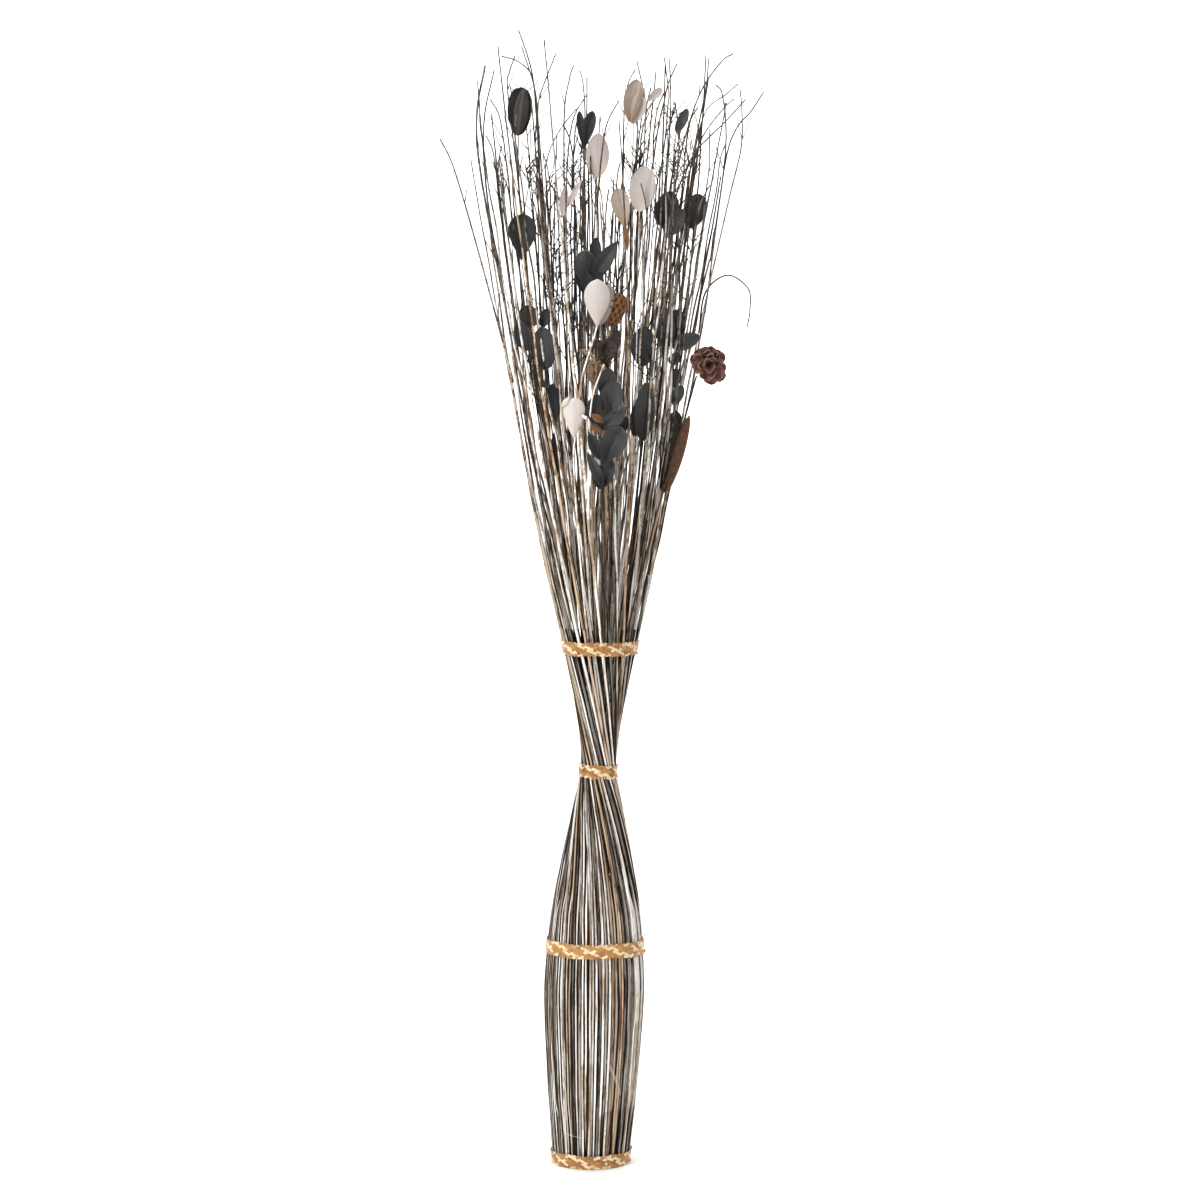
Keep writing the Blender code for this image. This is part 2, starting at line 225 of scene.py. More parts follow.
@dataclass
class MeshMaker:
    """Collects tubes and surfaces, with the values their finishes read, and makes them one mesh."""

    verts: list[np.ndarray] = field(default_factory=list)
    faces: list[list[int]] = field(default_factory=list)
    grain: list[np.ndarray] = field(default_factory=list)
    tone: list[np.ndarray] = field(default_factory=list)
    tip: list[np.ndarray] = field(default_factory=list)
    face: list[np.ndarray] = field(default_factory=list)
    slots: list[int] = field(default_factory=list)
    total: int = 0

    def add(self, verts: np.ndarray, faces: list[list[int]], grain: np.ndarray, tone: float | np.ndarray,
            tip: np.ndarray, slot: int = 0, face: np.ndarray | None = None) -> None:
        """Adds one surface.

        Args:
            verts: Its points, n by 3.
            faces: Its faces, counted from its own first point.
            grain: The grain's own coordinates at each point, n by 3, in metres.
            tone: One light-to-dark value, or one at each point, from 0 to 1.
            tip: How far each point is on the way to the tip, from 0 to 1.
            slot: Which of the piece's materials it wears.
            face: How far each point is on the lit side, from 0 to 1, the rest painted shade; everywhere if
                left out.
        """
        self.face.append(np.ones(len(verts)) if face is None else face)
        self.verts.append(verts)
        self.grain.append(grain)
        self.tone.append(np.broadcast_to(np.asarray(tone, float), (len(verts),)).copy())
        self.tip.append(tip)
        self.faces.extend([[i + self.total for i in face] for face in faces])
        self.slots.extend([slot] * len(faces))
        self.total += len(verts)

    def tube(self, path: Sequence[Vector], radii: Sequence[float], sides: int, tone: float, seed: float,
             tips: tuple[float, float] = (0.0, 0.0), slot: int = 0, flat: float = 1.0,
             pale: Sequence[float] | None = None, both: bool = False) -> None:
        """Adds a capped tube along a path.

        Args:
            path: Points of its centre line.
            radii: Its radius at each point.
            sides: Corners of its section.
            tone: Its light-to-dark value.
            seed: Sets its grain apart from its neighbours'.
            tips: The tip value at its first and last points.
            slot: Which of the piece's materials it wears.
            flat: Width of the section across its own second direction, as a share of the first.
            pale: Angle from the front that its lit, paler side faces, at each point; the other sides take
                painted shade.
            both: Whether its far side is as pale and lit as its near side, with the painted shade on the
                sides between.
        """
        line = np.array([tuple(p) for p in path])
        run = np.gradient(line, axis=0)
        run /= np.linalg.norm(run, axis=1)[:, None]
        side = np.cross(run[0], (0.31, 0.95, 0.05))
        sides_at, ups_at = [], []
        for direction in run:
            side = side - direction * side.dot(direction)
            side = side / np.linalg.norm(side)
            sides_at.append(side)
            ups_at.append(np.cross(direction, side))
        angles = np.linspace(0, 2 * math.pi, sides, endpoint=False)
        wide = np.asarray(radii)[:, None, None]
        ring = (np.array(sides_at)[:, None, :] * np.cos(angles)[None, :, None]
                + np.array(ups_at)[:, None, :] * np.sin(angles)[None, :, None] * flat)
        verts = (line[:, None, :] + ring * wide).reshape(-1, 3)
        along = np.concatenate([[0.0], np.cumsum(np.linalg.norm(np.diff(line, axis=0), axis=1))])
        grain = np.zeros((len(line), sides, 3))
        grain[:, :, 0] = np.cos(angles)[None, :] * wide[:, :, 0] + 0.37 * seed
        grain[:, :, 1] = np.sin(angles)[None, :] * wide[:, :, 0] + 0.11 * seed
        grain[:, :, 2] = along[:, None] + 0.53 * seed
        share = along / along[-1]
        tip = np.repeat(tips[0] + (tips[1] - tips[0]) * share, sides)
        face = None
        # Painted shade: how far each point faces the lit side; the shader darkens the rest.
        if pale is not None:
            facing = np.stack([np.sin(pale), -np.cos(pale), np.zeros(len(line))], axis=1)
            toward = np.einsum("ijk,ik->ij", ring, facing)
            face = np.where(both, 0.66 + 0.34 * np.abs(toward), 0.5 + 0.5 * toward).reshape(-1)
        self.add(verts, ring_faces(len(line), sides), grain.reshape(-1, 3), tone, tip, slot, face)

    def sheet(self, place: Callable[[float, float], Vector], across: int, along: int, thick: float,
              size: tuple[float, float], tone: float, seed: float, slot: int = 0) -> None:
        """Adds a thin closed sheet, such as a leaf.

        Args:
            place: Gives the point at (across, along), from (-1, 0) to (1, 1).
            across: Cells across.
            along: Cells along.
            thick: Its thickness.
            size: Half its width and its length, for the grain.
            tone: Its light-to-dark value.
            seed: Sets its grain apart.
            slot: Which of the piece's materials it wears.
        """
        cols, rows = across + 1, along + 1
        s = np.linspace(-1, 1, cols)
        t = np.linspace(0, 1, rows)
        grid = np.array([[tuple(place(a, b)) for a in s] for b in t])
        du, dv = np.gradient(grid, axis=1), np.gradient(grid, axis=0)
        normal = np.cross(du, dv)
        normal /= np.maximum(np.linalg.norm(normal, axis=2), 1e-12)[:, :, None]
        edge = 1.0 - 0.75 * np.abs(s)[None, :] ** 6
        lift = normal * (0.5 * thick * edge)[:, :, None]
        verts = np.concatenate([(grid + lift).reshape(-1, 3), (grid - lift).reshape(-1, 3)])
        back = rows * cols
        faces = []
        for i in range(along):
            for j in range(across):
                a = i * cols + j
                faces.append([a, a + 1, a + cols + 1, a + cols])
                faces.append([back + a, back + a + cols, back + a + cols + 1, back + a + 1])
        rim = [j for j in range(across)] + [i * cols + across for i in range(along)] \
            + [along * cols + j for j in range(across, 0, -1)] + [i * cols for i in range(along, 0, -1)]
        for a, b in zip(rim, rim[1:] + rim[:1]):
            faces.append([a, back + a, back + b, b])
        grain = np.zeros((rows, cols, 3))
        grain[:, :, 0] = s[None, :] * size[0]
        grain[:, :, 1] = t[:, None] * size[1]
        grain[:, :, 2] = seed
        grain = np.concatenate([grain.reshape(-1, 3)] * 2)
        tip = np.tile(np.repeat(t, cols), 2)
        self.add(verts, faces, grain, tone, tip, slot)

    def finish(self, name: str, materials: Sequence[bpy.types.Material]) -> bpy.types.Object:
        """Makes the piece.

        Args:
            name: The piece's name.
            materials: Its materials, in the order of their slots.

        Returns:
            The new object, linked to the scene.
        """
        mesh = bpy.data.meshes.new(name)
        mesh.from_pydata(np.concatenate(self.verts).tolist(), [], self.faces)
        vector = mesh.attributes.new("grain", "FLOAT_VECTOR", "POINT")
        vector.data.foreach_set("vector", np.concatenate(self.grain).astype(np.float32).ravel())
        for label, values in (("tone", self.tone), ("tip", self.tip), ("face", self.face)):
            number = mesh.attributes.new(label, "FLOAT", "POINT")
            number.data.foreach_set("value", np.concatenate(values).astype(np.float32))
        for material in materials:
            mesh.materials.append(material)
        mesh.polygons.foreach_set("material_index", np.array(self.slots, np.int32))
        mesh.shade_smooth()
        mesh.set_sharp_from_angle(angle=math.radians(62))
        mesh.update()
        piece = bpy.data.objects.new(name, mesh)
        bpy.context.scene.collection.objects.link(piece)
        return piece


def place_piece(piece: bpy.types.Object, slot: Slot, *nodes: str) -> bpy.types.Object:
    """Fixes a finished piece to the frame.

    Args:
        piece: The new object.
        slot: The record's slot it takes its finish from; not used.
        nodes: The CAD nodes it stands for.

    Returns:
        The same object.
    """
    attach(piece, "root")
    if nodes:
        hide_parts(*nodes)
    LOG.info("%s: %d faces, for %s", piece.name, len(piece.data.polygons), ", ".join(nodes) or "no node")
    return piece


# ---- shader effects -------------------------------------------------------------------------------
class Tree:
    """Adds nodes to one node tree and links them."""

    def __init__(self, tree: bpy.types.NodeTree) -> None:
        """Takes the tree that the nodes go in."""
        self.tree = tree

    def node(self, kind: str, values: dict | None = None, **settings: object) -> bpy.types.Node:
        """Adds a node.

        Args:
            kind: Its Blender type.
            values: Constants or sockets for its inputs, by name or number.
            settings: Its own properties.

        Returns:
            The node.
        """
        made = self.tree.nodes.new(kind)
        for key, value in settings.items():
            setattr(made, key, value)
        self.feed(made, values or {})
        return made

    def feed(self, node: bpy.types.Node, values: dict) -> None:
        """Gives a node's inputs their constants or sockets."""
        for key, value in values.items():
            if isinstance(value, bpy.types.NodeSocket):
                self.tree.links.new(value, node.inputs[key])
            else:
                node.inputs[key].default_value = value

    def noise(self, place: bpy.types.NodeSocket, scale: float, detail: float, roughness: float = 0.5,
              ) -> bpy.types.NodeSocket:
        """Cloudy noise at a place."""
        return self.node("ShaderNodeTexNoise", {"Vector": place, "Scale": scale, "Detail": detail,
                                                "Roughness": roughness}).outputs[0]

    def math(self, operation: str, *values: object) -> bpy.types.NodeSocket:
        """A Math node's result."""
        return self.node("ShaderNodeMath", dict(enumerate(values)), operation=operation).outputs[0]

    def mix(self, factor: object, first: object, second: object, kind: str = "MIX") -> bpy.types.NodeSocket:
        """A colour mixed from two, which are sockets or plain colours."""
        colours = [c if isinstance(c, bpy.types.NodeSocket) else (*c, 1.0) for c in (first, second)]
        return self.node("ShaderNodeMix", {0: factor, 6: colours[0], 7: colours[1]},
                         data_type="RGBA", blend_type=kind).outputs[2]

    def span(self, value: object, low: float, high: float, to: tuple[float, float] = (0.0, 1.0),
             ) -> bpy.types.NodeSocket:
        """A value stretched from low..high to another range, and held inside it."""
        return self.node("ShaderNodeMapRange", {0: value, 1: low, 2: high, 3: to[0], 4: to[1]}).outputs[0]

    def attribute(self, name: str, output: str) -> bpy.types.NodeSocket:
        """A value that the mesh carries at its points."""
        return self.node("ShaderNodeAttribute", attribute_name=name).outputs[output]


def new_group(name: str, inputs: Sequence[tuple[str, str, object]],
              outputs: Sequence[tuple[str, str]]) -> tuple[Tree, bpy.types.Node, bpy.types.Node]:
    """Starts a shader node group.

    Args:
        name: The group's name.
        inputs: Name, socket type and default value of each input.
        outputs: Name and socket type of each output.

    Returns:
        The group's tree, its input node and its output node.
    """
    group = bpy.data.node_groups.new(name, "ShaderNodeTree")
    for label, kind, default in inputs:
        socket = group.interface.new_socket(label, in_out="INPUT", socket_type=kind)
        if default is not None:
            socket.default_value = default
    for label, kind in outputs:
        group.interface.new_socket(label, in_out="OUTPUT", socket_type=kind)
    tree = Tree(group)
    return tree, tree.node("NodeGroupInput"), tree.node("NodeGroupOutput")


def make_streaks() -> bpy.types.NodeTree:
    """Group for long thin streaks and slow patches that follow a stem's or strand's length."""
    tree, start, end = new_group(
        "streaks",
        [("Grain", "NodeSocketVector", None), ("Across", "NodeSocketFloat", 900.0),
         ("Along", "NodeSocketFloat", 40.0), ("Patches", "NodeSocketFloat", 45.0)],
        [("Streak", "NodeSocketFloat"), ("Patch", "NodeSocketFloat"), ("Height", "NodeSocketFloat")])
    grain, across = start.outputs["Grain"], start.outputs["Across"]
    scale = tree.node("ShaderNodeCombineXYZ", {0: across, 1: across, 2: start.outputs["Along"]})
    stretched = tree.node("ShaderNodeVectorMath", {0: grain, 1: scale.outputs[0]}, operation="MULTIPLY")
    slow = tree.node("ShaderNodeVectorMath", {0: grain, "Scale": start.outputs["Patches"]}, operation="SCALE")
    streak = tree.span(tree.noise(stretched.outputs[0], 1.0, 5.0, 0.62), 0.36, 0.64)
    patches = tree.span(tree.noise(slow.outputs[0], 1.0, 4.0, 0.65), 0.38, 0.62)
    height = tree.math("MULTIPLY_ADD", streak, 0.7, tree.math("MULTIPLY", patches, 0.3))
    tree.feed(end, {"Streak": streak, "Patch": patches, "Height": height})
    return tree.tree


def make_veins() -> bpy.types.NodeTree:
    """Group for a leaf's midrib, its side veins and its soft mottling."""
    tree, start, end = new_group(
        "veins",
        [("Grain", "NodeSocketVector", None), ("Spacing", "NodeSocketFloat", 330.0),
         ("Slant", "NodeSocketFloat", 0.7)],
        [("Vein", "NodeSocketFloat"), ("Mottle", "NodeSocketFloat"), ("Height", "NodeSocketFloat")])
    grain = start.outputs["Grain"]
    parts = tree.node("ShaderNodeSeparateXYZ", {0: grain})
    side = tree.math("ABSOLUTE", parts.outputs[0])
    slanted = tree.math("SUBTRACT", parts.outputs[1], tree.math("MULTIPLY", side, start.outputs["Slant"]))
    wavy = tree.math("MULTIPLY_ADD", tree.noise(grain, 70.0, 3.0), 0.004, slanted)
    turns = tree.math("MULTIPLY", start.outputs["Spacing"], FULL_TURN)
    ribs = tree.span(tree.math("SINE", tree.math("MULTIPLY", wavy, turns)), 0.86, 1.0)
    midrib = tree.span(side, 0.0002, 0.0009, (1.0, 0.0))
    vein = tree.math("MAXIMUM", tree.math("MULTIPLY", ribs, 0.55), midrib)
    soft = tree.span(tree.noise(grain, 160.0, 6.0, 0.6), 0.36, 0.66)
    height = tree.math("MULTIPLY_ADD", soft, 0.35, vein)
    tree.feed(end, {"Vein": vein, "Mottle": soft, "Height": height})
    return tree.tree


class Skin(Tree):
    """The node tree of one material, with its Principled shader."""

    def __init__(self, name: str) -> None:
        """Makes the material.

        Args:
            name: The material's name.
        """
        self.material = bpy.data.materials.new(name)
        self.material.use_nodes = True
        super().__init__(self.material.node_tree)
        self.shader = self.tree.nodes["Principled BSDF"]

    def shared(self, group: bpy.types.NodeTree, values: dict[str, float]) -> bpy.types.Node:
        """Adds a shared group that reads the mesh's grain."""
        values = {"Grain": self.attribute("grain", "Vector"), **values}
        return self.node("ShaderNodeGroup", values, node_tree=group)

    def toned(self, colour: bpy.types.NodeSocket, dark: float, light: float) -> bpy.types.NodeSocket:
        """A colour made darker or lighter by the mesh's tone."""
        value = self.span(self.attribute("tone", "Fac"), 0.0, 1.0, (dark, light))
        return self.node("ShaderNodeHueSaturation", {"Value": value, "Color": colour}).outputs[0]

    def dress(self, colour: bpy.types.NodeSocket, roughness: object, relief: bpy.types.NodeSocket,
              strength: float, depth: float) -> bpy.types.Material:
        """Joins the material's looks to its shader.

        Args:
            colour: Its colour.
            roughness: Its roughness, a socket or a constant.
            relief: Height of its fine relief.
            strength: How strongly the relief shades.
            depth: Depth of the relief, in metres.

        Returns:
            The material.
        """
        bump = self.node("ShaderNodeBump", {"Strength": strength, "Distance": depth, "Height": relief})
        self.feed(self.shader, {"Base Color": colour, "Roughness": roughness, "Normal": bump.outputs[0]})
        return self.material


# Where a stem's finish changes: wear that takes the wash, tones, edge of the painted shade on the sides,
# start of the dark tip.
STEM_WASHED = (0.36, 0.54)
STEM_TONES = (0.72, 1.16)
STEM_FLANK_SHADE = (0.73, 0.82)
STEM_TIP = (0.44, 0.64)


@dataclass(frozen=True)
class StemFinish:
    """Dry stem: streaked body, a worn pale wash, and painted shade that turns its sides near-black away from
    its lit side.
    """

    name: str
    body: Colour
    grain: Colour
    wash: Colour
    wash_share: float
    flank_shade: Colour
    tip: Colour
    roughness: float = 0.66

    def make(self, groups: dict[str, bpy.types.NodeTree]) -> bpy.types.Material:
        """Builds the material.

        Args:
            groups: The shared groups, by name.

        Returns:
            The material.
        """
        skin = Skin(self.name)
        streaks = skin.shared(groups["streaks"], {"Across": 420.0, "Along": 13.0, "Patches": 85.0})
        streak, patch = streaks.outputs["Streak"], streaks.outputs["Patch"]
        tip = skin.attribute("tip", "Fac")
        # Long streaks wear the foot and belly, patches wear the fan.
        worn = skin.math("ADD", skin.math("MULTIPLY", streak, skin.span(tip, 0.0, 0.3, (0.8, 0.25))),
                         skin.math("MULTIPLY", patch, skin.span(tip, 0.0, 0.3, (0.2, 0.75))))
        wash = skin.math("MULTIPLY", skin.span(worn, *STEM_WASHED), self.wash_share)
        shade = skin.toned(skin.mix(wash, skin.mix(worn, self.grain, self.body), self.wash), *STEM_TONES)
        # Painted shade: away from the lit side the stem takes its near-black shade colour, with a ragged
        # edge.
        ragged = skin.math("MULTIPLY_ADD", skin.math("SUBTRACT", streak, 0.5), 0.25,
                           skin.attribute("face", "Fac"))
        colour = skin.mix(skin.span(ragged, *STEM_FLANK_SHADE), self.flank_shade, shade)
        tipped = skin.math("MULTIPLY", skin.span(tip, *STEM_TIP), skin.span(patch, 0.35, 0.62, (1.0, 0.84)))
        rough = skin.span(streak, 0.0, 1.0, (self.roughness - 0.1, self.roughness + 0.12))
        skin.feed(skin.shader, {"Specular IOR Level": 0.18})
        return skin.dress(skin.mix(tipped, colour, self.tip), rough, streaks.outputs["Height"], 0.5, 0.0003)


@dataclass(frozen=True)
class StrawFinish:
    """Glossy dry straw, cream to golden and orange-brown from strand to strand."""

    name: str
    pale: Colour
    golden: Colour
    burnt: Colour
    roughness: float = 0.42

    def make(self, groups: dict[str, bpy.types.NodeTree]) -> bpy.types.Material:
        """Builds the material.

        Args:
            groups: The shared groups, by name.

        Returns:
            The material.
        """
        skin = Skin(self.name)
        streaks = skin.shared(groups["streaks"], {"Across": 1500.0, "Along": 60.0, "Patches": 95.0})
        shift = skin.math("ADD", skin.attribute("tone", "Fac"),
                          skin.span(streaks.outputs["Patch"], 0.0, 1.0, (-0.2, 0.2)))
        colour = skin.mix(skin.span(shift, 0.15, 0.5), self.burnt, self.golden)
        colour = skin.mix(skin.span(shift, 0.6, 0.85), colour, self.pale)
        colour = skin.mix(skin.span(streaks.outputs["Streak"], 0.0, 0.5, (0.55, 0.0)), colour, self.burnt)
        return skin.dress(colour, self.roughness, streaks.outputs["Height"], 0.6, 0.0002)


@dataclass(frozen=True)
class LeafFinish:
    """Dry leaf: a body colour, veins, mottling, and a darker second colour at the base: partly the leaf's own
    tint, partly painted shade.
    """

    name: str
    body: Colour
    vein: Colour
    mottle: Colour
    base_tint_and_shade: Colour
    base_tint_and_shade_share: float = 0.0
    vein_share: float = 0.5
    mottle_share: float = 0.5
    roughness: float = 0.55
    sheen: float = 0.0

    def make(self, groups: dict[str, bpy.types.NodeTree]) -> bpy.types.Material:
        """Builds the material.

        Args:
            groups: The shared groups, by name.

        Returns:
            The material.
        """
        skin = Skin(self.name)
        veins = skin.shared(groups["veins"], {})
        mottle = veins.outputs["Mottle"]
        colour = skin.mix(skin.math("MULTIPLY", mottle, self.mottle_share), self.body, self.mottle)
        # Painted shade at the leaf's base, mixed with the leaf's own darker base tint; strongest at the base,
        # gone by 62 % of its length.
        low = skin.span(skin.attribute("tip", "Fac"), 0.0, 0.62, (self.base_tint_and_shade_share, 0.0))
        colour = skin.mix(low, colour, self.base_tint_and_shade)
        colour = skin.mix(skin.math("MULTIPLY", veins.outputs["Vein"], self.vein_share), colour, self.vein)
        rough = skin.span(mottle, 0.0, 1.0, (self.roughness - 0.08, self.roughness + 0.12))
        skin.feed(skin.shader, {"Sheen Weight": self.sheen, "Specular IOR Level": 0.30})
        return skin.dress(skin.toned(colour, 0.6, 1.4), rough, veins.outputs["Height"], 0.35, 0.0004)


@dataclass(frozen=True)
class PodFinish:
    """Rough brown pod: pitted cells in two browns."""

    name: str
    body: Colour
    pit: Colour
    edge: Colour
    cells: float = 420.0
    roughness: float = 0.7

    def make(self, groups: dict[str, bpy.types.NodeTree]) -> bpy.types.Material:
        """Builds the material.

        Args:
            groups: The shared groups, by name.

        Returns:
            The material.
        """
        skin = Skin(self.name)
        streaks = skin.shared(groups["streaks"], {"Across": 500.0, "Along": 120.0, "Patches": 160.0})
        place = {"Vector": skin.attribute("grain", "Vector"), "Scale": self.cells}
        cells = skin.node("ShaderNodeTexVoronoi", place, feature="DISTANCE_TO_EDGE")
        wall = skin.span(cells.outputs["Distance"], 0.02, 0.25, (1.0, 0.0))
        colour = skin.mix(streaks.outputs["Patch"], self.pit, self.body)
        colour = skin.mix(skin.math("MULTIPLY", wall, 0.8), colour, self.edge)
        relief = skin.math("MULTIPLY_ADD", streaks.outputs["Height"], 0.5, wall)
        return skin.dress(skin.toned(colour, 0.15, 1.7), self.roughness, relief, 0.6, 0.0006)


def make_finishes() -> Finishes:
    """Every finish of the bunch, by name."""
    groups = {"streaks": make_streaks(), "veins": make_veins()}
    finishes = [
        # The sixth colour of each stem is its painted shade, for the sides turned away from the lit side.
        StemFinish("whitewashed_reed", (0.70, 0.60, 0.49), (0.38, 0.245, 0.14), (0.95, 0.915, 0.86), 0.95,
                   (0.030, 0.018, 0.010), (0.042, 0.029, 0.020)),
        StemFinish("weathered_reed", (0.27, 0.215, 0.165), (0.085, 0.058, 0.038), (0.64, 0.57, 0.49), 0.7,
                   (0.014, 0.010, 0.007), (0.024, 0.017, 0.013)),
        StemFinish("tan_reed_skin", (0.40, 0.225, 0.105), (0.16, 0.078, 0.034), (0.84, 0.67, 0.48), 0.50,
                   (0.026, 0.014, 0.008), (0.055, 0.032, 0.018)),
        StemFinish("charcoal_reed", (0.036, 0.031, 0.027), (0.010, 0.009, 0.008), (0.34, 0.305, 0.265), 0.50,
                   (0.006, 0.005, 0.004), (0.012, 0.010, 0.008), 0.55),
        StemFinish("wiry_twig", (0.035, 0.025, 0.018), (0.012, 0.009, 0.007), (0.10, 0.068, 0.042), 0.4,
                   (0.008, 0.006, 0.005), (0.010, 0.008, 0.007), 0.6),
        StrawFinish("golden_straw", (0.84, 0.70, 0.41), (0.52, 0.245, 0.068), (0.25, 0.10, 0.026)),
        # The fourth colour of each leaf gathers at its base: near-black painted shade on the charcoal leaves
        # and the petals, a darker tint with painted shade on the pale leaves.
        LeafFinish("charcoal_skin", (0.022, 0.022, 0.022), (0.033, 0.033, 0.033), (0.035, 0.035, 0.036),
                   (0.003, 0.003, 0.003), 0.9, 0.3, 0.7, 0.5, 0.3),
        LeafFinish("streaked_charcoal", (0.025, 0.024, 0.023), (0.11, 0.072, 0.044), (0.048, 0.038, 0.029),
                   (0.010, 0.009, 0.009), 0.4, 0.65, 0.7, 0.55, 0.1),
        LeafFinish("slate_skin", (0.042, 0.043, 0.044), (0.062, 0.063, 0.064), (0.060, 0.061, 0.062),
                   (0.004, 0.004, 0.004), 0.95, 0.3, 0.6, 0.5, 0.3),
        LeafFinish("bleached_skin", (0.58, 0.53, 0.49), (0.48, 0.41, 0.36), (0.63, 0.59, 0.56),
                   (0.56, 0.43, 0.33), 0.45, 0.2, 0.6, 0.5, 0.1),
        LeafFinish("rosy_skin", (0.50, 0.43, 0.40), (0.35, 0.275, 0.24), (0.56, 0.50, 0.47),
                   (0.42, 0.30, 0.23), 0.35, 0.45, 0.6, 0.55, 0.1),
        LeafFinish("sandy_skin", (0.43, 0.355, 0.295), (0.24, 0.16, 0.10), (0.50, 0.43, 0.375),
                   (0.34, 0.20, 0.10), 0.8, 0.6, 0.6, 0.55, 0.1),
        LeafFinish("orange_skin", (0.19, 0.080, 0.027), (0.080, 0.032, 0.011), (0.28, 0.135, 0.050),
                   (0.10, 0.040, 0.015), 0.5, 0.5, 0.6, 0.6, 0.1),
        LeafFinish("petal_skin", (0.135, 0.052, 0.037), (0.030, 0.011, 0.008), (0.185, 0.082, 0.060),
                   (0.020, 0.008, 0.006), 0.9, 0.4, 0.6, 0.6, 0.2),
        PodFinish("rusty_pod", (0.135, 0.045, 0.010), (0.016, 0.006, 0.003), (0.23, 0.088, 0.021)),
        PodFinish("leathery_pod", (0.034, 0.018, 0.012), (0.013, 0.007, 0.005), (0.060, 0.033, 0.021), 200.0,
                  0.45),
        PodFinish("ribbed_brown", (0.23, 0.13, 0.07), (0.065, 0.032, 0.018), (0.32, 0.20, 0.11), 260.0, 0.65),
    ]
    return {finish.name: finish.make(groups) for finish in finishes}


# ---- reeds ----------------------------------------------------------------------------------------
REED_FINISH = {Slot.WHITE: "whitewashed_reed", Slot.GREY: "weathered_reed", Slot.TAN: "tan_reed_skin",
               Slot.DARK: "charcoal_reed"}


LOW_STEP = 0.008      # height between a reed's points, up to the collar
LOW_POINTS = 70
FAN_STEP = 0.012      # the same in the fan
# Above FLANK_SPLIT the painted shade lies on both sides of a stem, between its lit near and far sides.
FLANK_SPLIT = 0.57    # above this height a reed's far side is as pale as its near side
TWIG_TOP = 1.172      # twigs end below this height
TWIG_LEAST = 0.01     # shorter twigs are left out


